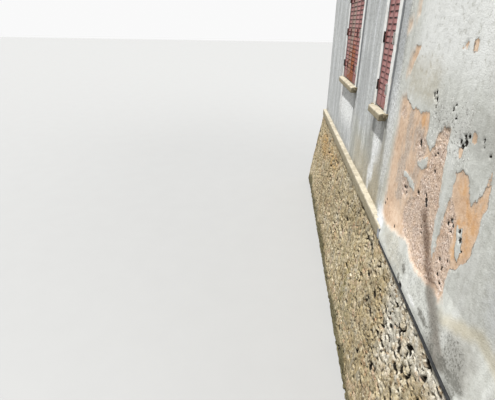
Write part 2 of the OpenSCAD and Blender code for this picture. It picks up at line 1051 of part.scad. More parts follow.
module chimney_stack() {
    color(brick)
        difference() {
            stack_space(stack_foot_z, stack_top_z);
            block([stack_far_x + stack_wall, stack_wall - stack_width / 2, stack_foot_z + stack_wall],
                  [stack_near_x - stack_wall, stack_width / 2 - stack_wall, stack_top_z + cut]);
        }
}

module at_pots() {
    for (side = [-1, 1])
        translate([(stack_near_x + stack_far_x) / 2, side * pot_offset, stack_top_z + cap_thickness])
            children();
}

module chimney_cap() {
    cap_half_width = stack_width / 2 + cap_projection;
    color(limestone)
        difference() {
            block([stack_far_x - cap_projection, -cap_half_width, stack_top_z],
                  [stack_near_x + cap_projection, cap_half_width, stack_top_z + cap_thickness]);
            at_pots()
                translate([0, 0, -cap_thickness - cut])
                    cylinder(h = cap_thickness + 2 * cut, r = pot_radius - pot_wall, $fn = 48);
        }
}

module chimney_pots() {
    color(clay)
        at_pots()
            difference() {
                cylinder(h = pot_height, r = pot_radius, $fn = 48);
                translate([0, 0, -cut])
                    cylinder(h = pot_height + 2 * cut, r = pot_radius - pot_wall, $fn = 48);
            }
}

river_base_wall();
landward_base_wall();
near_base_wall();
far_base_wall();
river_wall();
landward_wall();
near_gable_wall();
far_gable_wall();
river_string_course();
landward_string_course();
end_string_courses();
lead_flashing();
wide_window_surround();
wide_window_sill();
wide_shutter_leaf(0);  // wide_shutter_leaf_1
wide_shutter_leaf(1);  // wide_shutter_leaf_2
wide_shutter_leaf(2);  // wide_shutter_leaf_3
wide_shutter_leaf(3);  // wide_shutter_leaf_4
narrow_window_surround();
narrow_window_sill();
narrow_shutter_leaf(0);  // narrow_shutter_leaf_1
narrow_shutter_leaf(1);  // narrow_shutter_leaf_2
river_shutter_hinges();
ground_window_surrounds();
ground_window_sills();
ground_shutters();
ground_shutter_hinges();
upper_window_surrounds();
upper_window_sills();
upper_shutters();
upper_shutter_hinges();
door_surround();
door_threshold();
door_frame();
door_leaf();
door_ironwork();
ground_floor();
upper_floor();
rafters();
ridge_beam();
river_roof_slope();
landward_roof_slope();
ridge_tiles();
gutters();
downpipes();
chimney_stack();
chimney_cap();
chimney_pots();
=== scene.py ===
import math
import random

import bmesh
import bpy
import numpy as np
from mathutils import Matrix, Vector


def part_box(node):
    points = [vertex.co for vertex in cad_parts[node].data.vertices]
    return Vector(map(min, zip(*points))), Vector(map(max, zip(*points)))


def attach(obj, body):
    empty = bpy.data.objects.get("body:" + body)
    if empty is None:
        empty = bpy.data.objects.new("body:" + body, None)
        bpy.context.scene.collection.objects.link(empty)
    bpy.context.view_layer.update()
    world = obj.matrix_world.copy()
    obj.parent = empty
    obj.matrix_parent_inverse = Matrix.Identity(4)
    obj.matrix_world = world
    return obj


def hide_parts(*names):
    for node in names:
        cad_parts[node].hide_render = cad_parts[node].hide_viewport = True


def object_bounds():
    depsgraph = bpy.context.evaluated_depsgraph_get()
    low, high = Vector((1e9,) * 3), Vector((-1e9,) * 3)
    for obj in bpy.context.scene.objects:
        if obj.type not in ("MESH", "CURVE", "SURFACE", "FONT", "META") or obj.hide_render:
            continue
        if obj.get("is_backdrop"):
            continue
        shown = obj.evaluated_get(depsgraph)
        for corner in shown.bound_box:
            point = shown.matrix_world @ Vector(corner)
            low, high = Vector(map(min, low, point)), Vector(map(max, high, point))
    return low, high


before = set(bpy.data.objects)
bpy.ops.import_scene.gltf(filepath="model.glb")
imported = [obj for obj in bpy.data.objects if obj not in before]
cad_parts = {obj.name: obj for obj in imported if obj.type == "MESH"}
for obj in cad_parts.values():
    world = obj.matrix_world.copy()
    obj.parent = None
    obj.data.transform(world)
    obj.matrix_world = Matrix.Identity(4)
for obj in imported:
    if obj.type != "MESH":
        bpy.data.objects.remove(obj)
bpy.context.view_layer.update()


# Rubble base
# Field stones of all sizes laid in lime mortar, with a battered face on all four sides and a damp foot. The
# joints were pointed nearly flush with a rough mortar, which has dropped out in many places and left holes;
# the holes are painted nearly black inside, as painted shade.
wall_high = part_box("landward_wall")[1]
base_low, base_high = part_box("river_base_wall")
half_length, half_depth = wall_high.x, wall_high.y
base_top = base_high.z
foot_out = -base_low.y - half_depth
head_points = [v.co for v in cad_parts["river_base_wall"].data.vertices if v.co.z > base_top - 0.001]
head_out = max(-point.y for point in head_points) - half_depth
corner_round = 0.024
stone_skin = 0.07


def scatter(i, j, k, seed):
    """A number from 0 to 1 that belongs to each whole-numbered place"""
    n = (i * 73856093 + j * 19349663 + k * 83492791 + seed * 2654435761) & 0xFFFFFFFF
    n = ((n ^ (n >> 13)) * 1274126177) & 0xFFFFFFFF
    n = ((n ^ (n >> 16)) * 1103515245 + 12345) & 0xFFFFFFFF
    return (n ^ (n >> 15)) / 4294967296.0


def grain(places, size, seed, octaves=3):
    """Smooth noise from about -1 to 1 at places, in patches of about this size"""
    total = 0.0
    for octave in range(octaves):
        spot = places * (2 ** octave / size)
        cell = np.floor(spot).astype(np.int64)
        x, y, z = np.moveaxis((spot - cell) ** 2 * (3 - 2 * (spot - cell)), -1, 0)
        i, j, k = np.moveaxis(cell, -1, 0)
        for a, wx in ((0, 1 - x), (1, x)):
            for b, wy in ((0, 1 - y), (1, y)):
                for c, wz in ((0, 1 - z), (1, z)):
                    value = scatter(i + a, j + b, k + c, seed + octave) * 2 - 1
                    total = total + 0.5 ** octave * wx * wy * wz * value
    return total * 1.6 / (2 - 0.5 ** (octaves - 1))


def rise(value, low, high):
    """0 below low, 1 above high, and a smooth rise between them"""
    share = np.clip((value - low) / (high - low), 0, 1)
    return share * share * (3 - 2 * share)


def rounded(rim, arris):
    """How far a rounded arris lies back at a distance from the edge"""
    return arris - np.sqrt(np.maximum(arris ** 2 - np.clip(arris - rim, 0, None) ** 2, 0))


def lines(stops, step):
    """Places from the first stop to the last, at most a step apart, with every stop among them"""
    found = [stops[0]]
    for start, end in zip(stops, stops[1:]):
        count = max(1, math.ceil((end - start) / step - 1e-6))
        found += [start + (end - start) * n / count for n in range(1, count + 1)]
    return np.array(found)


def on_front(side, along, out, height):
    """Points on a side of the house: along it to the right from outside, out from the upper wall, and up"""
    along, out, height = np.broadcast_arrays(along, out, height)
    if side == "river":
        return np.stack([along, -half_depth - out, height], -1)
    if side == "landward":
        return np.stack([-along, half_depth + out, height], -1)
    if side == "near":
        return np.stack([half_length + out, along, height], -1)
    return np.stack([-half_length - out, -along, height], -1)


def slab(columns, rows, stops, levels, openings, front, back):
    """Points and faces of a closed slab: a fine front, a plain back, and the sides between them"""
    across, wide = len(columns), len(stops)
    solid = np.ones((len(rows) - 1, across - 1), bool)
    middle, height = (columns[1:] + columns[:-1]) / 2, (rows[1:] + rows[:-1]) / 2
    for left, right, low, high in openings:
        solid[np.ix_((height > low) & (height < high), (middle > left) & (middle < right))] = False
    row, column = np.nonzero(solid)
    corner = row * across + column
    faces = np.stack([corner, corner + 1, corner + across + 1, corner + across], 1).tolist()
    column_of = [int(np.abs(columns - stop).argmin()) for stop in stops]
    row_of = [int(np.abs(rows - level).argmin()) for level in levels]

    def filled(j, i):
        return 0 <= j < len(levels) - 1 and 0 <= i < wide - 1 and solid[row_of[j], column_of[i]]

    for j in range(len(levels) - 1):
        for i in range(wide - 1):
            if not filled(j, i):
                continue
            rear = len(rows) * across + j * wide + i
            left, right, low, high = column_of[i], column_of[i + 1], row_of[j], row_of[j + 1]
            faces.append([rear, rear + wide, rear + wide + 1, rear + 1])
            if not filled(j - 1, i):
                faces.append([low * across + c for c in range(right, left - 1, -1)] + [rear, rear + 1])
            if not filled(j + 1, i):
                edge = [high * across + c for c in range(left, right + 1)]
                faces.append(edge + [rear + wide + 1, rear + wide])
            if not filled(j, i - 1):
                faces.append([r * across + left for r in range(low, high + 1)] + [rear + wide, rear])
            if not filled(j, i + 1):
                edge = [r * across + right for r in range(high, low - 1, -1)]
                faces.append(edge + [rear + 1, rear + wide + 1])
    return np.concatenate([front.reshape(-1, 3), back.reshape(-1, 3)]), faces


def piece(name, points, faces, finish, slot, stands_for=(), crease=55, **marks):
    """A piece of the house: its mesh, its finish, and the numbers that the finish reads at each point"""
    used = np.zeros(len(points), bool)
    used[np.concatenate([np.asarray(face) for face in faces])] = True
    number = np.cumsum(used) - 1
    mesh = bpy.data.meshes.new(name)
    mesh.from_pydata(points[used].tolist(), [], [number[face].tolist() for face in faces])
    for label, values in marks.items():
        whole = np.zeros(len(points), np.float32)
        whole[:np.size(values)] = np.ravel(values)
        mesh.attributes.new(label, "FLOAT", "POINT").data.foreach_set("value", whole[used])
    mesh.polygons.foreach_set("use_smooth", [True] * len(mesh.polygons))
    mesh.set_sharp_from_angle(angle=math.radians(crease))
    mesh.materials.append(finish)
    made = bpy.data.objects.new(name, mesh)
    bpy.context.scene.collection.objects.link(made)
    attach(made, "root")
    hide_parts(*stands_for)
    return made


def core_of(node, depth):
    """Points and faces of a CAD wall whose outer faces are set back by depth, for a skin to cover"""
    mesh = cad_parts[node].data
    points = np.array([v.co for v in mesh.vertices])
    for axis, limit in ((0, half_length), (1, half_depth)):
        outside = np.abs(points[:, axis]) > limit - 0.001
        points[outside, axis] -= np.sign(points[outside, axis]) * depth
    points, same = np.unique(np.round(points, 5), axis=0, return_inverse=True)
    return points, [same.ravel()[list(face.vertices)].tolist() for face in mesh.polygons]


def paint(red, green, blue):
    """A colour for a shader, from its red, green and blue out of 255 as seen"""
    seen = [value / 255 for value in (red, green, blue)]
    return [v / 12.92 if v < 0.04045 else ((v + 0.055) / 1.055) ** 2.4 for v in seen] + [1.0]


class Layer:
    """A number or a colour that changes over a surface. Numbers can be added, taken away and multiplied."""

    def __init__(self, finish, socket):
        self.finish, self.socket = finish, socket

    def sum(self, operation, other=0.0):
        made = self.finish.node("Math", {0: self, 1: other}, operation=operation)
        return Layer(self.finish, made.outputs[0])

    def __add__(self, other):
        return self.sum("ADD", other)

    def __sub__(self, other):
        return self.sum("SUBTRACT", other)

    def __mul__(self, other):
        return self.sum("MULTIPLY", other)

    def __abs__(self):
        return self.sum("ABSOLUTE")

    def at_least(self, other):
        return self.sum("MAXIMUM", other)

    def rise(self, low, high, to_low=0.0, to_high=1.0):
        """A smooth rise from to_low to to_high as the number goes from low to high"""
        sockets = {"Value": self, "From Min": low, "From Max": high, "To Min": to_low, "To Max": to_high}
        made = self.finish.node("MapRange", sockets, interpolation_type="SMOOTHSTEP")
        return Layer(self.finish, made.outputs[0])


class Finish:
    """The finish of a surface, built up from procedural layers"""

    def __init__(self, name, roughness=0.9, specular=0.3, metallic=0.0):
        self.material = bpy.data.materials.new(name)
        self.material.use_nodes = True
        self.tree = self.material.node_tree
        self.shader = self.tree.nodes["Principled BSDF"].inputs
        self.shader["Roughness"].default_value = roughness
        self.shader["Specular IOR Level"].default_value = specular
        self.shader["Metallic"].default_value = metallic
        self.place = Layer(self, self.node("TexCoord").outputs["Object"])

    def feed(self, value, socket):
        if isinstance(value, Layer):
            self.tree.links.new(value.socket, socket)
        else:
            socket.default_value = value

    def node(self, kind, sockets=(), **settings):
        made = self.tree.nodes.new("ShaderNode" + kind)
        for name, value in settings.items():
            setattr(made, name, value)
        for name, value in dict(sockets).items():
            self.feed(value, made.inputs[name])
        return made

    def moved(self, size, stretch, seed):
        """The place on the object, counted in patches of this size, stretched along X, Y and Z"""
        scale = [1 / (size * share) for share in stretch]
        shift = (seed * 7.3, seed * 3.1, seed * 5.7)
        mapping = self.node("Mapping", {"Vector": self.place, "Scale": scale, "Location": shift})
        return {"Vector": Layer(self, mapping.outputs[0]), "Scale": 1.0}

    def noise(self, size, seed=0, detail=3.0, roughness=0.55, stretch=(1, 1, 1)):
        """Cloudy noise around 0.5"""
        sockets = {**self.moved(size, stretch, seed), "Detail": detail, "Roughness": roughness}
        return Layer(self, self.node("TexNoise", sockets).outputs[0])

    def cells(self, size, seed=0, stretch=(1, 1, 1), output="Distance"):
        """Distance to the nearest of many scattered spots, or that spot's own colour"""
        return Layer(self, self.node("TexVoronoi", self.moved(size, stretch, seed)).outputs[output])

    def mark(self, name):
        """A number kept at each point of the mesh"""
        return Layer(self, self.node("Attribute", attribute_name=name).outputs["Fac"])

    def mix(self, share, first, second, blend="MIX"):
        """The first colour with this share of the second laid over it"""
        first, second = [paint(*c) if isinstance(c, tuple) else c for c in (first, second)]
        sockets = {0: share, 6: first, 7: second}
        return Layer(self, self.node("Mix", sockets, data_type="RGBA", blend_type=blend).outputs[2])

    def shades(self, value, *stops):
        """Colours that follow one another as the value goes from 0 to 1"""
        made = self.node("ValToRGB", {0: value})
        ramp = made.color_ramp
        for number, (spot, colour) in enumerate(stops):
            stop = ramp.elements[number] if number < 2 else ramp.elements.new(spot)
            stop.position, stop.color = spot, paint(*colour)
        return Layer(self, made.outputs[0])

    def wear(self, colour, height=None, depth=0.002, roughness=None):
        """Sets the colour, the fine relief in metres and, if given, the roughness"""
        self.feed(colour, self.shader["Base Color"])
        if height is not None:
            bump = self.node("Bump", {"Height": height, "Distance": depth, "Strength": 1.0})
            self.feed(Layer(self, bump.outputs[0]), self.shader["Normal"])
        if roughness is not None:
            self.feed(roughness, self.shader["Roughness"])
        return self.material


def rubble_finish():
    """Rough tan mortar over small stones, with lichen, green streaks and a damp foot"""
    rubble = Finish("rubble", roughness=0.95, specular=0.15)
    coarse, fine = rubble.noise(0.045, 1, 5.0, 0.7), rubble.noise(0.014, 2, 4.0, 0.7)
    grit = fine * 0.45 + coarse * 0.55
    mortar = rubble.shades(grit, (0.36, (74, 66, 50)), (0.66, (240, 230, 204)), (0.43, (136, 121, 94)),
        (0.5, (180, 164, 130)), (0.57, (206, 191, 158)))
    stone = rubble.shades(rubble.mark("stone") + (coarse * 0.3 - 0.15), (0.0, (142, 128, 102)),
        (1.0, (210, 196, 166)), (0.22, (176, 161, 128)), (0.45, (190, 174, 140)), (0.62, (168, 161, 145)),
        (0.78, (192, 171, 139)), (0.9, (178, 146, 122)))
    stone = rubble.mix(fine.rise(0.4, 0.62, 0.0, 0.55), stone, (214, 200, 166))
    cement = rubble.shades(grit, (0.36, (116, 109, 97)), (0.66, (250, 246, 238)), (0.44, (176, 170, 157)),
        (0.52, (210, 205, 191)), (0.58, (230, 226, 214)))
    share = rubble.mark("cement") + (coarse * 0.9 - 0.45)
    bed = rubble.mark("mortar") + (fine * 0.8 - 0.4)
    colour = rubble.mix(bed.rise(0.3, 0.7), stone, mortar)
    colour = rubble.mix(share.rise(0.3, 0.9, 0.0, 0.9), colour, cement)
    runs = rubble.noise(0.05, 9, 4.0, 0.65, (1, 1, 4))
    colour = rubble.mix(runs.rise(0.53, 0.66, 0.0, 0.6), colour, (216, 206, 180))
    colour = rubble.mix(runs.rise(0.45, 0.34, 0.0, 0.6), colour, (122, 110, 82))
    patches = rubble.noise(0.2, 10, 4.0, 0.62, (1, 1, 1.6))
    colour = rubble.mix(patches.rise(0.52, 0.62, 0.0, 0.35), colour, (184, 160, 116))
    colour = rubble.mix(patches.rise(0.46, 0.36, 0.0, 0.45), colour, (158, 154, 142))
    pebbles = rubble.cells(0.042, 7, (1.5, 1.5, 1))
    kind = rubble.cells(0.042, 7, (1.5, 1.5, 1), "Color") * 1.0
    pebble = rubble.shades(kind, (0.2, (120, 100, 74)), (0.8, (236, 224, 200)), (0.4, (176, 150, 116)),
        (0.5, (206, 164, 134)), (0.6, (186, 174, 150)))
    bulge = pebbles.rise(0.42, 0.3) * rubble.noise(0.15, 8, 3.0).rise(0.47, 0.55)
    colour = rubble.mix(bulge * 0.75, colour, pebble)
    tone = rubble.noise(0.5, 3, 3.0)
    colour = rubble.mix(tone.rise(0.4, 0.7, 0.0, 0.5), colour, (174, 166, 144), "MULTIPLY")
    lichen = rubble.mark("lichen") * coarse.rise(0.42, 0.58)
    colour = rubble.mix(lichen * 0.75, colour, (192, 152, 94))
    green = rubble.mark("green") * rubble.noise(0.03, 4, 4.0).rise(0.4, 0.62)
    colour = rubble.mix(green * 0.7, colour, (108, 106, 60))
    damp = rubble.mark("damp") + (coarse * 0.6 - 0.3)
    colour = rubble.mix(damp.rise(0.2, 0.9, 0.0, 0.85), colour, (88, 84, 60))
    # Painted shade: small specks and the holes where the mortar has gone are painted nearly black inside
    specks = rubble.cells(0.034, 5, (1.7, 1.7, 1)).rise(0.3, 0.16)
    specks = specks * rubble.noise(0.1, 6, 3.0, 0.6).rise(0.45, 0.54)
    hollow = rubble.mark("hollow") + (fine * 0.5 - 0.25)
    hollow = hollow.rise(0.3, 0.6).at_least(specks * 0.9)
    colour = rubble.mix(hollow, colour, (34, 30, 24))
    return rubble.wear(colour, coarse * 1.2 + fine * 0.5 + bulge * 0.25 - hollow * 0.6, 0.020)


def stones(along, height, seed):
    """How far points of a rubble face lie from the edge of their stones, and a number for each stone"""
    course_width, course_rise = 0.125, 0.078
    places = np.stack([along, height, np.full_like(along, seed)], -1)
    x = along / course_width + 0.35 * grain(places, 0.14, seed + 3, 2)
    y = height / course_rise + 0.35 * grain(places, 0.12, seed + 7, 2)
    i, j = np.floor(x).astype(np.int64), np.floor(y).astype(np.int64)
    nearest, second = np.full(along.shape, 9.0), np.full(along.shape, 9.0)
    number = np.zeros(along.shape)
    for dj in (-2, -1, 0, 1, 2):
        for di in (-2, -1, 0, 1, 2):
            column, row = i + di, j + dj
            seat_x = column + 0.5 + 0.85 * (scatter(column, row, 0 * row, seed) - 0.5) + 0.5 * (row % 2)
            seat_y = row + 0.5 + 0.8 * (scatter(column, row, 0 * row, seed + 1) - 0.5)
            spread = 0.035 * scatter(column, row, 0 * row, seed + 2)
            reach = np.hypot((x - seat_x) * course_width / 1.4, (y - seat_y) * course_rise) - spread
            closer = reach < nearest
            second = np.where(closer, nearest, np.minimum(second, reach))
            number = np.where(closer, scatter(column, row, 0 * row, seed + 4), number)
            nearest = np.minimum(nearest, reach)
    return (second - nearest) / 2, number


def holes_at(along, height, spots):
    """1 at the middle of each hole and 0 outside it, from its place, width and height"""
    depth = np.zeros(along.shape)
    wobble = grain(np.stack([along, height, 0 * height], -1), 0.04, 5, 2)
    for place, level, width, tall in spots:
        reach = np.hypot((along - place) / width * 2, (height - level) / tall * 2) + 0.35 * wobble
        depth = np.maximum(depth, rise(reach, 1.1, 0.5))
    return depth


def scattered_holes(along, height, seed, across, up, chance):
    """The same for holes strewn at random, one at most in each field of this size"""
    depth = np.zeros(along.shape)
    wobble = grain(np.stack([along, height, 0 * height], -1), 0.03, seed + 6, 2)
    i, j = np.floor(along / across).astype(np.int64), np.floor(height / up).astype(np.int64)
    for dj in (-1, 0, 1):
        for di in (-1, 0, 1):
            draw = [scatter(i + di, j + dj, 0 * i, seed + n) for n in range(5)]
            place, level = (i + di + 0.2 + 0.6 * draw[0]) * across, (j + dj + 0.2 + 0.6 * draw[1]) * up
            wide, tall = across * (0.12 + 0.30 * draw[2] ** 2), up * (0.10 + 0.16 * draw[3])
            reach = np.hypot((along - place) / wide, (height - level) / tall) + 0.4 * wobble
            depth = np.maximum(depth, rise(reach, 1.15, 0.55) * (draw[4] < chance))
    return depth


def from_far_corner(distance):
    """A place along the river front, which was measured from its far corner"""
    return distance - half_length


# The larger holes in the river side, in centimetres: place, height, width and height of the hole
river_holes = np.array([(517, 101, 9, 3.5), (520, 95, 5, 3), (537, 118, 8, 4), (573, 98, 10, 5),
    (558, 68, 7, 5), (568, 114, 8, 4.5), (610, 72, 9, 5), (643, 123, 9, 8), (655, 134, 11, 5),
    (647, 109, 10, 6), (608, 112, 6, 4), (620, 114, 5, 3), (640, 140, 5, 6), (692, 114, 8, 6),
    (480, 133, 9, 2.5), (475, 110, 7, 3), (590, 105, 6, 3), (662, 102, 7, 5), (680, 90, 10, 5),
    (715, 132, 8, 5), (430, 42, 10, 6), (345, 72, 9, 5), (290, 120, 10, 4), (760, 60, 12, 6)]) / 100
river_holes[:, 0] -= half_length


def base_wall(side, step, seed, holes=()):
    """The stone skin of one side of the base"""
    river = side == "river"
    half = half_length if side in ("river", "landward") else half_depth
    turn = lines([-1, 0, 1], step / half)
    if river:
        turn = np.concatenate([lines([-1, 0], 0.022 / half), lines([0, 0.12], 0.014 / half)[1:],
            lines([0.12, 1], 0.0112 / half)[1:]])
    levels = lines([0, base_top], step)
    share, height = np.meshgrid(turn, levels)
    batter = foot_out + (head_out - foot_out) * height / base_top
    along = share * (half + batter)
    places = on_front(side, along, batter, height)
    edge, number = stones(along, height, seed)
    near_end = rise(along, from_far_corner(4.9), from_far_corner(6.4)) if river else 0.4 + 0 * along
    pointing = rise(grain(places, 0.3, seed + 20, 2), -0.75, 0.2)
    joint = 1 - rise(edge, 0.002, 0.015)
    rough = grain(places, 0.07, seed + 30, 3)
    raised = (0.5 - number) * 0.012 * rise(edge, 0.0, 0.025) * (1 - 0.6 * pointing)
    depth = 0.012 - raised + joint * (0.012 - 0.011 * pointing) - 0.0055 * rough
    chance = (0.42 + 0.55 * near_end * rise(height, 0.2, 0.8)) * (1 - 0.4 * rise(height, 1.25, 1.45))
    hollow = scattered_holes(along, height, seed + 70, 0.16, 0.12, chance)
    hollow = np.maximum(hollow, holes_at(along, height, holes))
    hollow = np.maximum(hollow, 0.9 * scattered_holes(along, height, seed + 80, 0.075, 0.06, chance))
    hollow = np.maximum(hollow, 0.8 * scattered_holes(along, height, seed + 90, 0.055, 0.055, 0.9 * chance))
    depth = depth + 0.030 * hollow
    rim = np.minimum(half + batter - np.abs(along), base_top - height)
    depth = np.maximum(depth, 0.001) * rise(rim, 0.0, 0.05)
    arris = corner_round * (1.2 + grain(on_front(side, np.sign(share) * (half + batter), batter, height),
        0.3, 9, 2))
    turned = rounded(half + batter - np.abs(along), arris)
    end = np.abs(share) > 1 - 1e-6
    cut = (1 - math.sqrt(0.5)) * arris
    along = np.where(end, np.sign(share) * (half + batter - cut), along)
    out = batter - depth - np.where(end, cut, np.minimum(turned, cut))
    out = np.maximum(out, batter - stone_skin + 0.012)
    front = on_front(side, along, out, height)
    turns, heights = np.meshgrid([-1.0, 0.0, 1.0], [0, base_top])
    inset = foot_out + (head_out - foot_out) * heights / base_top - stone_skin
    back = on_front(side, turns * (half + inset), inset, heights)
    points, faces = slab(turn, levels, [-1, 0, 1], [0, base_top], [], front, back)
    mortar = np.maximum(joint, pointing * rise(rough + grain(places, 0.15, seed + 50, 2), -0.2, 0.5))
    far_share = 0.6 * rise(grain(places, 1.5, 61, 1), 0.1, 0.6)
    far_share = rise(from_far_corner(4.2) - along, 0, 2.5) if river else far_share
    lichen = far_share * rise(0.22 - np.abs(height - 1.27 + 0.08 * rough), 0, 0.16)
    lichen = lichen * rise(grain(places * (0.4, 0.4, 1), 0.25, 62, 2), -0.3, 0.4)
    if river:
        spot = np.hypot((along - from_far_corner(1.1)) / 0.8, (height - 1.22) / 0.3) + 0.3 * rough
        lichen = np.maximum(lichen, 0.95 * rise(spot, 1.1, 0.3))
    streaks = grain(places * (1, 1, 0.12), 0.2, 63, 2)
    near_streaks = rise(0.9 - np.abs(along - from_far_corner(4.6)), 0, 0.6) if river else 0.35
    green = near_streaks * rise(streaks, -0.1, 0.5) * rise(base_top - height, 0.05, 0.5)
    cement = near_end * rise(height + 0.35 * grain(places, 0.4, 64, 2) + 0.25 * near_end, 1.0, 1.65)
    damp = rise(0.30 + 0.1 * grain(places, 0.4, 65, 2) - height, 0, 0.3)
    return piece(side + "_base_stonework", points, faces, stonework, "rubble", stone=number, mortar=mortar,
        hollow=hollow, lichen=lichen, green=green, cement=cement, damp=damp)


stonework = rubble_finish()
base_wall("river", 0.0132, 11, river_holes)
for side, seed in (("landward", 23), ("near", 35), ("far", 47)):
    base_wall(side, 0.031, seed)
for side in ("river", "landward", "near", "far"):
    node = side + "_base_wall"
    piece(side + "_base_core", *core_of(node, stone_skin - 0.002), stonework, "rubble", [node], crease=30)


# String course
# Slabs of cream limestone 12 cm thick on top of the base, standing out past it, their tops cut to throw off
# rain. On the river front the last length has broken away, and the end of the slab that is left is rough and
# chipped.
course_low, course_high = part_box("river_string_course")
course_out = -course_low.y - half_depth
course_top = course_high.z
course_fall = 0.006
course_joint = 0.006
bedding = 0.015
random.seed(7)


class Pile:
    """Small pieces gathered into one mesh, with numbers kept at each point, 0 where a piece gives none"""

    def __init__(self):
        self.points, self.faces, self.marks, self.count = [], [], [], 0

    def add(self, points, faces, **marks):
        self.points.append(points)
        faces = np.asarray(faces, object).tolist()
        self.faces += [[corner + self.count for corner in face] for face in faces]
        self.count += len(points)
        self.marks.append(marks)

    def fix(self, side, shape, at=(0, 0, 0), **marks):
        """Adds a body given as metres along a side of the house, into its wall, and up"""
        points = shape[0] + at
        self.add(on_front(side, points[:, 0], -points[:, 1], points[:, 2]), shape[1], **marks)

    def finished(self, name, finish, slot, stands_for=(), crease=40):
        marks = {}
        for label in dict.fromkeys(label for given in self.marks for label in given):
            pairs = zip(self.marks, self.points)
            values = [np.broadcast_to(given.get(label, 0.0), len(points)) for given, points in pairs]
            marks[label] = np.concatenate(values)
        return piece(name, np.concatenate(self.points), self.faces, finish, slot, stands_for, crease,
            **marks)


def dressed_block(low, high, arris, step, turns=(0.3,)):
    """Points, faces and outward directions of a block between two corners, with rounded arrises"""
    rim = np.array([0.0, *turns, 1.0]) * arris
    cuts = [lines([*(a + rim), *(b - rim[::-1])], step) for a, b in zip(low, high)]
    quads = []
    for axis in range(3):
        e, f = (axis + 1) % 3, (axis + 2) % 3
        first, second = np.meshgrid(np.arange(len(cuts[e]) - 1), np.arange(len(cuts[f]) - 1))
        for end in (0, len(cuts[axis]) - 1):
            corners = []
            for step_e, step_f in ((0, 0), (1, 0), (1, 1), (0, 1)):
                key = np.full((first.size, 3), end)
                key[:, e], key[:, f] = first.ravel() + step_e, second.ravel() + step_f
                corners.append(key)
            quads.append(np.stack(corners if end else corners[::-1], 1))
    keys, faces = np.unique(np.concatenate(quads).reshape(-1, 3), axis=0, return_inverse=True)
    points = np.stack([cuts[axis][keys[:, axis]] for axis in range(3)], 1)
    heart = np.clip(points, np.array(low) + arris, np.array(high) - arris)
    lean = points - heart
    lean = lean / np.maximum(np.linalg.norm(lean, axis=1, keepdims=True), 1e-9)
    return heart + lean * arris, faces.reshape(-1, 4), lean


def worn_block(low, high, arris, step, wear, seed, turns=(0.3,)):
    """A dressed block whose surface and arrises have weathered back by up to about the wear"""
    points, faces, lean = dressed_block(low, high, arris, step, turns)
    corner = np.abs(lean).max(1) < 0.97
    places = points + (seed * 1.7, 0, 0)
    knocks = corner * wear * rise(grain(places, 0.13, 8, 2), 0.0, 0.7)
    loss = wear * (0.5 + 0.5 * grain(places, 0.09, 3)) + knocks
    return points - lean * np.clip(loss, 0, None)[:, None], faces


def course_block(side, start, end, seed, broken=False):
    low, high = (start, -course_out, base_top), (end, bedding, course_top)
    points, faces = worn_block(low, high, 0.006, 0.03 if side == "river" else 0.07, 0.0018, seed)
    share = np.clip(-points[:, 1] / course_out, 0, 1)
    top = rise(points[:, 2], course_top - 0.012, course_top - 0.004)
    points[:, 2] -= course_fall * share * (points[:, 2] - base_top) / (course_top - base_top)
    if broken:
        ragged = 0.5 + 0.5 * grain(points * (0, 1, 1), 0.05, 31)
        points[:, 0] -= rise(points[:, 0], end - 0.25, end) * (0.01 + 0.05 * (1 - share) + 0.03 * ragged)
        chip = rise(points[:, 0], end - 0.14, end - 0.02) * rise(points[:, 2], course_top - 0.03, course_top)
        points[:, 2] -= 0.014 * chip * rise(grain(points, 0.06, 32, 2), 0.0, 0.8)
    reach = 0.9 * (rise(points[:, 0], end - 0.45, end - 0.1) if broken else 0.0) - 0.1
    wash = top * rise(reach - share, -0.05, 0.05)
    wash = np.maximum(wash, rise(points[:, 0], end - 0.10, end - 0.05) * rise(1.3 - share - top, 0, 0.3)
        if broken else 0)
    return points, faces, {"top": top, "wash": wash}


def course(pile, side, start, end, broken=False):
    lengths = max(1, round((end - start) / 1.25))
    joints = [start + (end - start) * (n + random.uniform(-0.12, 0.12) * (0 < n < lengths)) / lengths
        for n in range(lengths + 1)]
    for number, (left, right) in enumerate(zip(joints, joints[1:])):
        last = number == lengths - 1
        gap = 0 if last else course_joint
        points, faces, marks = course_block(side, left, right - gap, number + 3 * len(side), broken and last)
        pile.fix(side, (points, faces), stone=random.random(), **marks)


def limestone_finish():
    """Cream limestone with grey weathering, fine pits and some moss"""
    stone = Finish("limestone", roughness=0.85, specular=0.25)
    cloud, fine = stone.noise(0.12, 11, 5.0, 0.6), stone.noise(0.01, 12, 3.0)
    colour = stone.shades(cloud, (0.3, (146, 137, 117)), (0.7, (192, 183, 162)), (0.5, (178, 170, 151)))
    colour = stone.mix(stone.mark("stone").rise(0.0, 1.0, 0.0, 0.22), colour, (150, 140, 120))
    grime = stone.noise(0.05, 13, 4.0, 0.65).rise(0.5, 0.68, 0.0, 0.55)
    colour = stone.mix(grime, colour, (112, 103, 84))
    # The faces below the top are given a darker colour than the tops
    weathered = stone.mix(fine.rise(0.35, 0.65), (112, 104, 82), (164, 152, 124))
    shown = (stone.mark("top") + (cloud * 0.6 - 0.3)).rise(0.0, 0.8, 0.3, 1.0)
    colour = stone.mix(shown, weathered, colour)
    colour = stone.mix((fine * 0.3 + stone.mark("wash")).rise(0.45, 0.75), colour,
        stone.shades(cloud, (0.3, (144, 147, 152)), (0.7, (176, 178, 182))))
    moss = stone.mark("moss") * stone.noise(0.02, 14, 4.0).rise(0.35, 0.6)
    colour = stone.mix(moss, colour, (96, 78, 48))
    pits = stone.cells(0.016, 15).rise(0.28, 0.1) * cloud.rise(0.45, 0.6)
    colour = stone.mix(pits * 0.6, colour, (110, 98, 78))
    height = fine * 0.3 + (cloud * 0.6 - pits)
    return stone.wear(colour, height, 0.004)


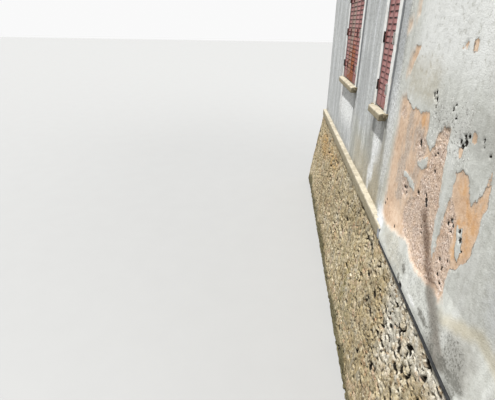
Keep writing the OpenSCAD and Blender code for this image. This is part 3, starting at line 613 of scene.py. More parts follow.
limestone = limestone_finish()
for node, lengths in (("river_string_course", [("river", course_low.x, course_high.x, True)]),
        ("landward_string_course", [("landward", -half_length - course_out, half_length + course_out)]),
        ("end_string_courses", [("near", -half_depth, half_depth), ("far", -half_depth, half_depth)])):
    pile = Pile()
    for length in lengths:
        course(pile, *length)
    pile.finished(node.removesuffix("s") + "_blocks", limestone, "limestone", [node])


# Upper walls
# Rubble masonry half a metre thick, rendered outside in rough lime mortar, once painted peach and later
# grey-white. Towards the near end of the river front the grey-white coat has come off in sheets, and below
# the peach one the bare mortar shows, pitted and speckled.
coat_thickness = 0.02
band_width = 0.105
wall_top = max(v.co.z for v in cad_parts["landward_wall"].data.vertices if v.co.y > half_depth - 0.001)
gable_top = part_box("near_gable_wall")[1].z
gable_edge_top = max(v.co.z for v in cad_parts["near_gable_wall"].data.vertices
    if abs(v.co.y) > half_depth - 0.001)
seam_along, seam_height = from_far_corner(4.93), 3.80


def solids_of(node):
    """The lowest and highest corners of each solid of a CAD node"""
    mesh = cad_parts[node].data
    spots = np.array([v.co for v in mesh.vertices])
    spots, same = np.unique(np.round(spots, 4), axis=0, return_inverse=True)
    same = same.ravel()
    group = np.arange(len(spots))
    links = np.array([(same[e.vertices[0]], same[e.vertices[1]]) for e in mesh.edges])
    while True:
        low = np.minimum(group[links[:, 0]], group[links[:, 1]])
        new = group.copy()
        np.minimum.at(new, links[:, 0], low)
        np.minimum.at(new, links[:, 1], low)
        if (new == group).all():
            break
        group = new
    return [(spots[group == g].min(0), spots[group == g].max(0)) for g in np.unique(group)]


def along_side(low, high):
    """The side of the house that a box lies on, and its left and right ends along that side"""
    if high[1] < -half_depth + 0.01:
        return "river", low[0], high[0]
    if low[1] > half_depth - 0.01:
        return "landward", -high[0], -low[0]
    if low[0] > half_length - 0.01:
        return "near", low[1], high[1]
    return "far", -high[1], -low[1]


def openings_in(node):
    """The opening in each surround of a node: its side of the house, left, right, foot and head"""
    found = []
    for low, high in solids_of(node):
        side, left, right = along_side(low, high)
        found.append((side, left + band_width, right - band_width, low[2], high[2] - band_width))
    return found


surround_nodes = ["wide_window_surround", "narrow_window_surround", "ground_window_surrounds",
    "upper_window_surrounds"]
windows = {node: openings_in(node) for node in surround_nodes}
doorway = openings_in("door_surround")[0]
openings = [opening for node in surround_nodes for opening in windows[node]] + [doorway]


def within(value, start, full, end, fade):
    """1 between two places, with a rise from the start until it is full, and a fall over the last stretch"""
    return rise(value, start, full) * rise(end - value, 0, fade)


def reach_in(along, height, outline):
    """How far points lie inside an outline, and below zero outside it"""
    nearest, inside = np.full(along.shape, 9.0), np.zeros(along.shape, bool)
    for (x0, y0), (x1, y1) in zip(outline, outline[1:] + outline[:1]):
        dx, dy = x1 - x0, y1 - y0
        share = np.clip(((along - x0) * dx + (height - y0) * dy) / (dx * dx + dy * dy), 0, 1)
        nearest = np.minimum(nearest, np.hypot(along - x0 - share * dx, height - y0 - share * dy))
        level = (y0 > height) != (y1 > height)
        inside ^= level & (along < x0 + dx * (height - y0) / (dy if abs(dy) > 1e-9 else 1e-9))
    return np.where(inside, nearest, -nearest)


def corners(*numbers):
    """The corners of an outline, from centimetres along the river front and above the foot of the base"""
    return [(along / 100, height / 100) for along, height in zip(numbers[::2], numbers[1::2])]


# What has come off the river front, and where bare mortar and orange paint show in it
peeled_sheet = corners(524, 283, 532, 286, 545, 281, 560, 279, 576, 280, 590, 283, 593, 275, 593, 266, 603,
    260, 610, 266, 612, 274, 618, 280, 626, 280, 628, 268, 631, 252, 633, 235, 634, 222, 637, 206, 641, 200,
    643, 208, 644, 225, 646, 245, 645, 260, 650, 264, 658, 265, 663, 262, 666, 256, 673, 250, 677, 256, 680,
    266, 683, 274, 685, 260, 685, 240, 682, 228, 678, 220, 672, 212, 666, 208, 664, 198, 666, 190, 663, 182,
    655, 184, 645, 183, 636, 180, 628, 177, 618, 176, 608, 179, 598, 186, 586, 185, 572, 180, 560, 176, 545,
    174, 530, 172, 522, 176, 524, 195, 521, 220, 523, 250, 522, 270)
small_peelings = [corners(530, 316, 538, 322, 547, 322, 540, 314, 531, 303, 524, 300),
    corners(527, 354, 534, 356, 533, 344, 528, 342), corners(508, 339, 517, 341, 517, 335, 509, 333),
    corners(633, 330, 638, 331, 638, 326, 634, 324), corners(620, 328, 624, 329, 624, 326, 620, 326),
    corners(656, 288, 660, 287, 660, 282, 656, 281), corners(642, 273, 648, 275, 649, 269, 644, 267),
    corners(730, 260, 742, 266, 750, 255, 747, 238, 736, 230, 728, 244),
    corners(766, 210, 774, 216, 786, 208, 784, 194, 770, 190)]
islands = [corners(584, 246, 592, 252, 602, 255, 604, 249, 596, 244), corners(560, 231, 572, 233, 585, 231,
    590, 225, 580, 224, 570, 227, 562, 225), corners(662, 235, 668, 237, 671, 229, 674, 225, 672, 218, 668,
    217, 666, 228)]
bare_mortar = [corners(617, 280, 626, 280, 628, 268, 631, 252, 633, 235, 634, 222, 638, 205, 642, 199, 645,
    210, 644, 230, 647, 244, 652, 244, 658, 237, 661, 227, 660, 216, 666, 210, 666, 190, 662, 184, 655, 186,
    645, 184, 636, 181, 628, 178, 618, 177, 608, 180, 598, 187, 584, 186, 576, 196, 574, 206, 584, 216, 595,
    225, 600, 240, 602, 252, 609, 264, 613, 274), corners(575, 262, 580, 266, 592, 264, 597, 258, 593, 252,
    584, 250, 577, 253), corners(527, 274, 535, 277, 541, 271, 536, 266, 528, 268),
    corners(560, 223, 575, 224, 578, 217, 570, 212, 561, 214)]
orange_paint = [corners(577, 280, 590, 282, 591, 272, 588, 266, 578, 266, 575, 273),
    corners(650, 263, 658, 265, 663, 260, 666, 255, 673, 250, 677, 257, 683, 272, 685, 255, 684, 235, 680,
    224, 672, 213, 664, 212, 660, 220, 660, 233, 657, 242, 652, 252),
    corners(656, 288, 660, 287, 660, 282, 656, 281)]
# Pits through the coats, in centimetres: place, height, and size across
pits = np.array([(591, 295, 3), (595, 297, 3), (597, 293, 4), (593, 293, 2), (598, 288, 2), (600, 284, 2),
    (610, 231, 3), (612, 228, 4.5), (614, 225, 3), (612, 260, 2.5), (615, 262, 3), (610, 258, 2),
    (597, 227, 4), (582, 260, 3.5), (584, 258, 2.5), (570, 220, 3.5), (572, 217, 2.5), (566, 219, 2.5),
    (644, 278, 3), (648, 282, 3), (650, 279, 3.5), (647, 276, 2.5), (652, 283, 2), (668, 285, 2.5),
    (669, 282, 2), (677, 280, 2.5), (625, 292, 2), (628, 295, 2), (631, 288, 2), (623, 286, 1.5),
    (616, 250, 2), (617, 214, 2.5), (613, 208, 2.5), (615, 204, 2), (650, 230, 2.5), (653, 233, 3),
    (656, 231, 2.5), (655, 227, 2), (666, 233, 3), (669, 229, 3), (673, 224, 2.5), (525, 186, 4),
    (528, 191, 3), (560, 180, 3), (674, 251, 1.5), (650, 205, 2), (656, 202, 2.5), (660, 210, 2),
    (652, 195, 2), (658, 192, 2)]) / 100

# Marks low down on the coats: place, height, half of its width and height, what shows there, and how
# strongly
foot_marks = [(5.65, 1.63, 0.34, 0.22, "tint", -0.4), (7.02, 1.77, 0.20, 0.20, "stain_and_shadow", 0.4),
    (6.76, 1.54, 0.14, 0.12, "stain_and_shadow", 0.9), (6.95, 2.15, 0.35, 0.28, "stain_and_shadow", 0.15),
    (5.03, 2.50, 0.13, 0.60, "bright", 0.5), (5.80, 1.62, 0.40, 0.16, "rough", 1.0),
    (6.55, 1.64, 0.50, 0.18, "rough", 1.0), (5.16, 1.66, 0.17, 0.20, "tint", 0.8),
    (5.16, 1.66, 0.15, 0.18, "bright", 0.8), (6.00, 1.64, 0.04, 0.05, "mildew", 1.0),
    (5.92, 1.51, 0.03, 0.05, "mildew", 1.0), (5.99, 1.47, 0.035, 0.02, "pit", 1.0),
    (6.26, 1.53, 0.07, 0.03, "bright", 0.9), (6.48, 1.57, 0.10, 0.04, "mildew", 1.0),
    (6.83, 1.55, 0.10, 0.06, "mildew", 1.0), (6.98, 1.60, 0.16, 0.09, "mildew", 1.0),
    (6.94, 1.72, 0.16, 0.12, "rough", 1.0), (6.94, 1.72, 0.16, 0.12, "mildew", 0.6),
    (6.62, 1.66, 0.20, 0.10, "rough", 0.9), (4.56, 2.10, 0.10, 0.36, "bright", 1.0),
    (4.46, 1.80, 0.09, 0.22, "bright", 0.9), (6.30, 1.72, 0.30, 0.10, "rough", 0.8)]


def river_wear(along, height, places):
    """What shows on the river front: distances into the peelings, and shares of stain and painted shadow,
    mildew and so on
    """
    far = along + half_length
    warp = grain(places, 0.09, 71, 3), grain(places, 0.09, 77, 3)
    ragged = grain(places * (1, 1, 0.35), 0.035, 79, 2)
    place, level = far + 0.020 * warp[0] + 0.011 * ragged, height + 0.020 * warp[1]
    peeled = np.maximum.reduce([reach_in(place, level, outline) for outline in [peeled_sheet]
        + small_peelings])
    peeled = np.minimum(peeled, -np.maximum.reduce([reach_in(place, level, outline) for outline in islands]))
    bare = np.maximum.reduce([reach_in(place, level, outline) for outline in bare_mortar])
    bare = np.minimum(bare, peeled - 0.004)
    orange = np.maximum.reduce([reach_in(place, level, outline) for outline in orange_paint])
    orange = rise(orange, -0.01, 0.05)
    pit = np.zeros(along.shape)
    for spot, spot_height, size in pits:
        pit = np.maximum(pit, rise(np.hypot(far - spot, height - spot_height) + 0.008 * warp[0], size * 0.62,
            size * 0.2))
    left_wash = within(far, 4.98, 5.12, 5.30, 0.1) * rise(2.75 - height, 0, 0.4)
    drift = 0.25 * grain(places, 0.5, 81, 2)
    beige = rise(2.45 - height + drift, 0, 0.6) * within(far, 2.9, 3.8, 5.1, 0.3)
    olive = rise(far, 5.2, 5.4) * within(height, 2.78, 2.95, 3.3, 0.2) * rise(6.15 - far, 0, 0.3)
    blue = 0.5 * within(far, 4.82, 4.9, 5.12, 0.1) * rise(height, 2.3, 2.7)
    blue = np.maximum(blue, 0.6 * rise(far, 6.9, 7.3) * within(height, 1.95, 2.2, 3.0, 0.4))
    blue = np.maximum(blue, 0.45 * rise(4.9 - far, 0, 0.4))
    tint = blue - 0.4 * left_wash - 1.15 * beige - 0.45 * olive
    stain_and_shadow = np.zeros(along.shape)
    # Painted cast shadow: two soft dark bands that run down to the right across the peeled part
    for x0, z0, x1, z1, width in ((6.16, 2.17, 6.37, 1.91, 0.07), (6.37, 1.91, 6.80, 1.56, 0.09)):
        share = np.clip(((far - x0) * (x1 - x0) + (height - z0) * (z1 - z0))
            / ((x1 - x0) ** 2 + (z1 - z0) ** 2), 0, 1)
        gone = np.hypot(far - x0 - share * (x1 - x0), height - z0 - share * (z1 - z0))
        stain_and_shadow = np.maximum(stain_and_shadow, 0.95 * rise(gone + 0.03 * warp[1], width * 1.4, width * 0.2))
    run = 1.79 + 0.55 * np.clip(far - 6.76, 0, 0.35)
    ochre = 0.32 * rise(0.08 - np.abs(height - run + 0.02 * warp[0]), 0, 0.07) * rise(far, 6.6, 6.8)
    foot = rise(1.88 - height + 0.1 * warp[0], 0, 0.32)
    patchy = rise(grain(places * (1, 1, 0.45), 0.13, 85, 3), -0.4, 0.4)
    mildew = foot * patchy * np.maximum(rise(far, 6.40, 6.75), 0.3 * rise(far, 5.2, 5.5))
    mildew = np.maximum(mildew, 0.35 * rise(far, 5.9, 6.1) * within(height, 2.72, 2.8, 3.05, 0.2))
    bright = np.zeros(along.shape)
    for left, right, low, high in ((1.75, 3.1, 1.8, 2.45), (4.42, 4.76, 1.95, 2.42)):
        edge = np.minimum(far - left, right - far) + 0.08 * warp[0]
        bright = np.maximum(bright, rise(edge, -0.02, 0.12) * rise(height, low, low + 0.4)
            * (height < high + 0.2))
    clean = rise(far, 5.3, 5.6) * rise(height + drift, 2.95, 3.25) * rise(5.2 - height + 2 * drift, 0, 1.2)
    bright = np.maximum(bright, 0.55 * clean)
    grime = rise(1.80 - height + 0.06 * warp[0], 0, 0.1) * rise(5.2 - far, 0, 0.3)
    rough = np.maximum(rise(5.25 - far, 0, 0.2), rise(bare, 0.0, 0.03))
    soft = np.clip(rise(5.40 - far, 0, 0.12) + 0.5 * rise(1.95 - height, 0, 0.1), 0, 1)
    # Where the coat gets painted highlights and dark nicks over its relief
    glint_and_nick_zone = within(far, 5.8, 6.05, 6.75, 0.3) * within(height, 2.5, 2.7, 3.12, 0.25)
    glint_and_nick_zone = np.maximum(glint_and_nick_zone, 0.45 * rise(peeled, -0.06, -0.01)) * rise(0.02 - peeled, 0, 0.02)
    worn = within(far, 5.35, 5.5, 6.05, 0.2) * within(height, 1.9, 2.1, 2.85, 0.2)
    stain_and_shadow = stain_and_shadow + 0.4 * grime
    runs = 0.25 + 0.75 * rise(5.2 - far, 0, 0.3) * rise(4.6 - height, 0, 1.0)
    marks = {"peeled": peeled, "bare": bare, "orange": orange, "pit": pit, "tint": tint, "stain_and_shadow": stain_and_shadow,
        "ochre": ochre, "mildew": mildew, "bright": bright, "rough": rough, "soft": soft, "glint_and_nick_zone": glint_and_nick_zone,
        "worn": worn, "runs": runs}
    for spot, level, wide, tall, label, share in foot_marks:
        reach = np.hypot((far - spot) / wide, (height - level) / tall) + 0.25 * warp[0]
        marks[label] = marks[label] + (share - marks[label]) * rise(reach, 1.15, 0.5)
    return marks


def other_wear(along, height, places, seed):
    """The same numbers for a front that has weathered more evenly, with a few small peelings"""
    cloud = grain(places, 1.3, seed, 3) - 0.12 * rise(height, 2.5, 4.5)
    low_band = within(height, 1.8, 2.2, 3.6, 1.2)
    peeled = np.clip((cloud - 0.78 + 0.22 * low_band) * 0.25, -0.1, 0.1)
    bare = np.clip((cloud - 0.93 + 0.2 * low_band) * 0.25, -0.1, 0.1)
    foot = rise(2.0 - height + 0.12 * grain(places, 0.4, seed + 5, 2), 0, 0.3)
    tint = 0.4 * grain(places, 2.0, seed + 9, 2) - 0.4 * foot
    none = np.zeros(along.shape)
    return {"peeled": peeled, "bare": bare, "orange": rise(grain(places, 0.8, seed + 3, 2), 0.3, 0.7),
        "pit": none, "tint": tint, "stain_and_shadow": 0.35 * foot, "ochre": none, "mildew": 0.45 * foot,
        "bright": none, "rough": rise(grain(places, 1.5, seed + 7, 1), -0.5, 0.2), "runs": 0.4 + none}


def drips(side, along, height):
    """Grime washed down below each sill, as a share"""
    share = np.zeros(along.shape)
    for where, left, right, low, high in openings:
        if where == side and low > base_top + 0.5:
            below = rise(low - height, 0.0, 0.2) * rise(height - low, -1.1, -0.3)
            ends = np.minimum(np.abs(along - left + 0.08), np.abs(along - right - 0.08))
            share = np.maximum(share, below * rise(0.16 - ends, 0.0, 0.14))
    return share


skirt = np.array([v.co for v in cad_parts["river_wall"].data.vertices if v.co.y < -half_depth - 0.001])
skirt_start, skirt_out = skirt[:, 0].min(), -skirt[:, 1].min() - half_depth
skirt_foot, skirt_lip = skirt[:, 2].min(), skirt[:, 2].max()
skirt_top = base_top + 0.40
# The marks on the river front were measured from here, as if the whole front were flat
eye_along, eye_out, eye_height = 4.468, 1.02, 3.372


def flare(along, height):
    """How far the foot of the render runs out over the lead, and over the end of the string course"""
    share = rise(along, skirt_start - 0.5, skirt_start + 0.02)
    level = np.clip((skirt_top - height) / (skirt_top - skirt_lip), 0, 1)
    return skirt_out * share * level ** 1.2


def coat(name, side, stops, levels, step, seed, seams=()):
    """The render and paint on one side of the house, or on a part of it"""
    half = half_length if side in ("river", "landward") else half_depth
    gable = side in ("near", "far")
    near_corner = [sign * (half - coat_round * share) for sign in (-1, 1) for share in (0.3, 0.6, 1.0)]
    columns = lines(stops, step).tolist()
    columns = np.array(sorted({*columns, *(spot for spot in near_corner if stops[0] < spot < stops[-1])}))
    rows = lines(levels, step)
    along, height = np.meshgrid(columns, rows)
    nominal = on_front(side, along, 0 * along, height)
    spread = 0 * along
    if side == "river":
        spread = flare(along, height)
        slide = spread / (eye_out - spread)
        wear = river_wear(along + (along - eye_along) * slide, height + (height - eye_height) * slide,
            nominal)
    else:
        wear = other_wear(along, height, nominal, seed)
    drip_share = 0.3 if side == "river" else 0.45
    wear["stain_and_shadow"] = np.maximum(wear["stain_and_shadow"], drip_share * drips(side, along, height))
    rim = half - np.abs(along)
    for edge_kind, edge in seams:
        gap = np.abs(along - edge) if edge_kind == "along" else np.abs(height - edge)
        rim = np.minimum(rim, gap)
    cast = grain(nominal, 0.028, seed + 60, 2) * (0.0006 + 0.0011 * wear["rough"])
    cast = cast + 0.004 * grain(nominal, 0.6, 91, 2)
    lost = 0.0030 * rise(wear["peeled"], -0.004, 0.004) + 0.0025 * rise(wear["bare"], -0.004, 0.004)
    rubbed = 0.0022 * rise(wear["bare"], 0.0, 0.01) * (1 + grain(nominal, 0.022, seed + 64, 2))
    relief = (cast - lost - rubbed - 0.010 * wear["pit"]) * rise(rim, 0.0, 0.03)
    end = rim < 1e-6
    at_corner = np.abs(along) > half - 1e-6
    cut = (1 - math.sqrt(0.5)) * coat_round
    turned = rounded(half - np.abs(along), coat_round)
    along_moved = np.where(at_corner, np.sign(along) * (half - cut), along)
    out = relief + spread - np.where(at_corner, cut, np.minimum(turned, cut))
    lowered = np.clip(spread / skirt_out, 0, 1) * np.clip((base_top + 0.1 - height) / 0.1, 0, 1)
    height = height + (skirt_foot - base_top) * lowered
    if gable:
        pitch = (gable_top - gable_edge_top) / half_depth
        roof = gable_top - pitch * np.abs(along_moved)
        lift = np.clip((height - wall_top) / (gable_top - wall_top), 0, None)
        height = np.where(height > wall_top, wall_top + lift * (roof - wall_top), height)
    front = on_front(side, along_moved, out, height)
    across, up = np.meshgrid(stops, levels)
    inset = np.where(np.abs(across) > half - 1e-6, np.sign(across) * (half - coat_thickness), across)
    if gable:
        roof = gable_top - pitch * np.abs(inset)
        up = np.where(up > wall_top + 1e-6, roof, up)
    back = on_front(side, inset, -coat_thickness + 0 * inset, up)
    holes = [(left, right, low, high) for where, left, right, low, high in openings if where == side]
    points, faces = slab(columns, rows, stops, levels, holes, front, back)
    return piece(name, points, faces, lime_coats, "lime_render", crease=60, **wear)


def lime_coats_finish():
    """Grey-white lime paint over peach paint over rough mortar, each shown where the one above is gone"""
    coat = Finish("lime_coats", roughness=0.95, specular=0.15)
    cloud, middle = coat.noise(0.35, 21, 4.0, 0.6), coat.noise(0.045, 22, 4.0, 0.6)
    fine, speckle = coat.noise(0.010, 23, 3.0, 0.65), coat.noise(0.016, 24, 4.0, 0.7)
    streaks = coat.noise(0.05, 25, 4.0, 0.6, (1, 1, 9))
    tone = middle * 0.4 + (fine * 0.2 + cloud * 0.4)
    white = coat.shades(tone, (0.34, (178, 178, 169)), (0.64, (222, 223, 216)), (0.5, (206, 207, 200)))
    white = coat.mix(streaks.rise(0.44, 0.6) * coat.mark("runs"), white, (178, 178, 171))
    wide_runs = coat.noise(0.19, 35, 5.0, 0.65, (1, 1, 8))
    white = coat.mix(wide_runs.rise(0.5, 0.4, 0.0, 0.7) * coat.mark("runs"), white, (166, 166, 159))
    white = coat.mix(wide_runs.rise(0.53, 0.62, 0.0, 0.8) * coat.mark("runs"), white, (226, 227, 225))
    tint = coat.mark("tint") + (middle * 0.5 - 0.25)
    white = coat.mix(tint.rise(0.0, 1.0, 0.0, 0.8), white, (198, 203, 212))
    white = coat.mix(tint.rise(0.0, -1.0, 0.0, 0.9), white, (186, 176, 152))
    white = coat.mix(coat.mark("bright") * middle.rise(0.28, 0.48), white, (244, 245, 243))
    grit = speckle.rise(0.5, 0.63) * coat.mark("rough")
    white = coat.mix(grit * 0.7, white, (128, 127, 122))
    # Painted highlights: pale specks over the relief, thickest in the zone marked for them
    painted_glints = speckle + (coat.mark("glint_and_nick_zone") * 0.13 - 0.13)
    white = coat.mix(painted_glints.rise(0.5, 0.58, 0.0, 0.8), white, (236, 236, 230))
    # Small nicks in the relief, painted dark as their shade
    nicks = coat.noise(0.017, 27, 4.0, 0.7, (1.6, 1.6, 1))
    nick = (nicks + (coat.mark("glint_and_nick_zone") * 0.15 - 0.155)).rise(0.58, 0.62)
    white = coat.mix(nick * 0.65, white, (112, 106, 94))
    peach = coat.shades(tone, (0.36, (186, 154, 128)), (0.64, (234, 212, 190)), (0.5, (219, 191, 164)))
    orange = coat.shades(tone, (0.38, (204, 154, 106)), (0.62, (234, 196, 154)))
    patch = coat.mark("orange") * coat.noise(0.13, 37, 4.0, 0.65).rise(0.42, 0.58, 0.3, 1.0)
    peach = coat.mix(patch, peach, orange)
    thin = (coat.noise(0.12, 28, 5.0, 0.68, (1, 1, 2.2)) + (coat.mark("worn") * 0.2 - 0.12)).rise(0.44, 0.64,
        0.0, 0.7)
    peach = coat.mix(thin, peach, coat.shades(speckle, (0.36, (150, 132, 118)), (0.6, (206, 198, 188))))
    bare = coat.shades(speckle, (0.34, (92, 74, 66)), (0.66, (250, 240, 230)), (0.42, (182, 156, 138)),
        (0.5, (218, 195, 177)), (0.58, (232, 214, 198)))
    bare = coat.mix(coat.noise(0.09, 26, 3.0).rise(0.4, 0.62, 0.0, 0.5), bare, peach)
    torn = coat.noise(0.035, 36, 4.0, 0.7, (1, 1, 2.6))
    ragged = torn * 0.06 + (fine * 0.02 - 0.04)
    edge = coat.mark("peeled") + ragged
    blur = coat.mark("soft") * 0.07 + 0.0015
    off = edge.rise(blur * -1.0, blur)
    bare_edge = coat.mark("bare") + (middle * 0.16 - 0.08)
    bare_share = bare_edge.rise(-0.03, 0.035)
    colour = coat.mix(off, white, peach)
    colour = coat.mix(bare_share, colour, bare)
    # Painted shadow: a thin dark line along the torn edges of the top coat, mixed in with the dark cracks
    lip = abs(edge).rise(0.005, 0.001) * cloud.rise(0.46, 0.58)
    lip = lip * coat.mark("soft").rise(0.4, 0.0)
    cracks = abs(coat.noise(0.09, 29, 4.0, 0.6) - 0.5).rise(0.01, 0.003)
    cracks = cracks * (coat.mark("worn") + coat.mark("glint_and_nick_zone")).rise(0.3, 0.9)
    cracks = cracks * coat.noise(0.07, 30, 2.0).rise(0.5, 0.6)
    colour = coat.mix(lip.at_least(cracks) * 0.75, colour, (96, 82, 72))
    # Stains, drips and damp darken the coat, and so does the painted cast shadow
    colour = coat.mix(coat.mark("stain_and_shadow") * 0.9, colour, (152, 142, 134), "MULTIPLY")
    colour = coat.mix(coat.mark("ochre"), colour, (196, 176, 126))
    colour = coat.mix(coat.mark("mildew") * 0.7, colour, (138, 136, 129))
    mould = (speckle + (coat.mark("mildew") * 0.3 - 0.2)).rise(0.46, 0.64)
    mould = mould * coat.mark("mildew").rise(0.05, 0.5)
    colour = coat.mix(mould * 0.6, colour, (92, 91, 83))
    # Painted shade: the pits are painted nearly black inside
    pit = (coat.mark("pit") + (fine * 1.2 - 0.6)).rise(0.3, 0.6)
    colour = coat.mix(pit, colour, (48, 44, 40))
    step = off * -0.35 + bare_share * -0.25
    grains = (coat.mark("rough") + bare_share * 1.4) * speckle
    height = step + (grains * 0.6 + fine * 0.3)
    height = height - pit.at_least(nick) * 0.7
    height = middle * 0.28 + height
    return coat.wear(colour, height, 0.008)


coat_round = 0.012
lime_coats = lime_coats_finish()


def stops_of(side, start, end, low, high):
    """The edges of a side's openings along and up, between the edges of a coat"""
    here = [opening[1:] for opening in openings if opening[0] == side]
    along = sorted({round(edge, 5) for opening in here for edge in opening[:2] if start < edge < end})
    up = sorted({round(edge, 5) for opening in here for edge in opening[2:] if low < edge < high})
    return [start] + along + [end], [low] + up + [high]


seams = [("along", seam_along), ("up", seam_height)]
coat("river_coat_near", "river", [seam_along, half_length], [base_top, seam_height], 0.0118, 101, seams)
stops, levels = stops_of("river", -half_length, seam_along, base_top, seam_height)
coat("river_coat_far", "river", stops, levels, 0.03, 101, seams)
stops, levels = stops_of("river", -half_length, half_length, seam_height, wall_top)
coat("river_coat_upper", "river", stops, levels, 0.06, 101, seams[1:])
stops, levels = stops_of("landward", -half_length, half_length, base_top, wall_top)
coat("landward_coat", "landward", stops, levels, 0.06, 131)
for side, seed in (("near", 151), ("far", 171)):
    stops, levels = stops_of(side, -half_depth, half_depth, base_top, wall_top)
    coat(side + "_coat", side, sorted(stops + [0.0]), levels + [gable_top], 0.06, seed)
for node in ("river_wall", "landward_wall", "near_gable_wall", "far_gable_wall"):
    core = core_of(node, coat_thickness - 0.001)
    covered = np.full(len(core[0]), -0.1)
    piece(node + "_masonry", *core, lime_coats, "lime_render", [node], crease=30, peeled=covered,
        bare=covered)


# Lead flashing
# Where the string course has gone, a strip of lead covers the top of the base, dressed down over its edge.
# The render was run out over it, so that only its edge shows. Its near-black colour is dark lead and also
# painted shadow under the render's edge.
lead_low, lead_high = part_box("lead_flashing")


def swept(rings, looped=False):
    """Points and faces of a body from its rings of points, either capped or closed on itself"""
    rings = np.asarray(rings)
    places, count = rings.shape[:2]
    faces = [] if looped else [list(range(count))[::-1], [(places - 1) * count + n for n in range(count)]]
    for place in range(places if looped else places - 1):
        near, far = place * count, (place + 1) % places * count
        for n in range(count):
            after = (n + 1) % count
            faces.append([near + n, near + after, far + after, far + n])
    return rings.reshape(-1, 3), faces


def along_front(side, stations, outline_at):
    """A body along a side of the house, from its outline of distances out and heights at each station"""
    rings = [on_front(side, along, *outline_at(along).T) for along in stations]
    return swept(np.array(rings)[:, ::-1])


def lead_finish():
    """Dark grey lead with a pale bloom, made near black as painted shadow under the render's edge"""
    lead = Finish("lead", roughness=0.6, specular=0.4, metallic=0.2)
    cloud = lead.noise(0.05, 121, 4.0, 0.65)
    colour = lead.shades(cloud, (0.35, (26, 27, 28)), (0.75, (56, 57, 58)))
    return lead.wear(colour, cloud, 0.002)


def lead_outline(along):
    wave = 0.002 * grain(np.array([[along, 0.0, 0.0]]), 0.12, 33, 2)[0]
    foot = base_top - 0.006 + 2 * wave - 0.010 * rise(along, from_far_corner(6.4), from_far_corner(6.9))
    under = [(-0.004, base_top + 0.001), (head_out - 0.002, base_top + 0.001),
        (head_out + 0.0005, base_top - 0.004), (head_out + 0.0015, foot)]
    over = [(head_out + 0.0045 + wave, foot), (head_out + 0.0035 + wave, base_top - 0.001),
        (head_out - 0.001, base_top + 0.006), (-0.004, base_top + 0.010)]
    return np.array(under + over)


lead = lead_finish()
points, faces = along_front("river", lines([lead_low.x + 0.002, lead_high.x], 0.03), lead_outline)
piece("lead_flashing_sheet", points, faces, lead, "lead", ["lead_flashing"], crease=40)


# Window and door surrounds
# Flat bands of render at the sides and over the head of each opening, 20 mm proud of the wall and painted
# white. They were run in place against a rule, so the arrises are crisp but for a few chips.
band_out = -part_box("wide_window_surround")[0].y - half_depth
band_arris = 0.004
band_bed = 0.012


def edge_lines(stops, arris, step):
    """Places from the first stop to the last, with some more close to each stop for a rounded arris"""
    more = {round(stop + sign * share * arris, 5) for stop in stops for sign in (-1, 1)
        for share in (0, 0.35, 1)}
    kept = sorted(spot for spot in more if stops[0] - 1e-6 <= spot <= stops[-1] + 1e-6)
    return lines(kept, step)


def band(side, left, right, low, high, seed):
    step = 0.011 if side == "river" and low < seam_height else 0.025
    start, end, top = left - band_width, right + band_width, high + band_width
    columns = edge_lines([start, left, right, end], band_arris, step)
    rows = edge_lines([low, high, top], band_arris, step)
    along, height = np.meshgrid(columns, rows)
    outer = np.minimum.reduce([along - start, end - along, top - height])
    beside = np.maximum.reduce([left - along, along - right, 0 * along])
    inner = np.hypot(beside, np.maximum(height - high, 0))
    rim = np.minimum(outer, inner)
    places = on_front(side, along, band_out, height)
    chip = rise(grain(places, 0.07, seed, 3), 0.42, 0.75) * rise(0.022 - rim, 0.0, 0.02)
    brushed = 0.0008 * grain(places, 0.05, seed + 5, 2) * rise(rim, 0, 0.02)
    out = band_out - rounded(rim, band_arris) - 0.003 * chip + brushed
    front = on_front(side, along, np.minimum(out, band_out), height)
    across, up = np.meshgrid([start, left, right, end], [low, high, top])
    back = on_front(side, across, -band_bed, up)
    hole = (left, right, low - 1, high)
    points, faces = slab(columns, rows, [start, left, right, end], [low, high, top], [hole], front, back)
    marks = {"chip": np.zeros(len(points)), "low": np.zeros(len(points)), "side": np.ones(len(points))}
    marks["chip"][:rim.size] = chip.ravel()
    marks["low"][:rim.size] = rise(low + 0.35 - height, 0, 0.35).ravel()
    # The side faces, and the front within 3 mm of its edges, are marked for painted shade
    marks["side"][:rim.size] = rise(rim, 0.003, 0.0).ravel()
    return points, faces, marks


def band_finish():
    """White paint on fine render, chipped at the arrises and a little dirty low down, with painted shade
    on the side faces
    """
    white = Finish("white_band", roughness=0.8, specular=0.3)
    cloud, fine = white.noise(0.08, 31, 4.0, 0.6), white.noise(0.008, 32, 3.0)
    colour = white.shades(cloud, (0.3, (214, 214, 209)), (0.62, (240, 240, 237)))
    dirt = white.mark("low") * white.noise(0.03, 33, 4.0, 0.65).rise(0.4, 0.62)
    colour = white.mix(dirt * 0.5, colour, (158, 148, 128))
    flaked = white.noise(0.025, 34, 4.0, 0.6).rise(0.64, 0.67)
    flaked = flaked.at_least(white.mark("chip").rise(0.15, 0.4))
    colour = white.mix(flaked * 0.6, colour, (182, 172, 156))
    # Painted shade: the side faces are painted a dark blue-grey
    colour = white.mix(white.mark("side") * 0.75, colour, (122, 126, 134))
    height = fine * 0.3 + flaked * -0.5
    return white.wear(colour, height, 0.002)


white_band = band_finish()
for node, seed in (("wide_window_surround", 201), ("narrow_window_surround", 207),
        ("ground_window_surrounds", 213), ("upper_window_surrounds", 229), ("door_surround", 251)):
    pile = Pile()
    for number, opening in enumerate(windows.get(node, [doorway])):
        points, faces, marks = band(*opening, seed + number)
        pile.add(points, faces, **marks)
    pile.finished(node + "_band", white_band, "white_band", [node], crease=50)


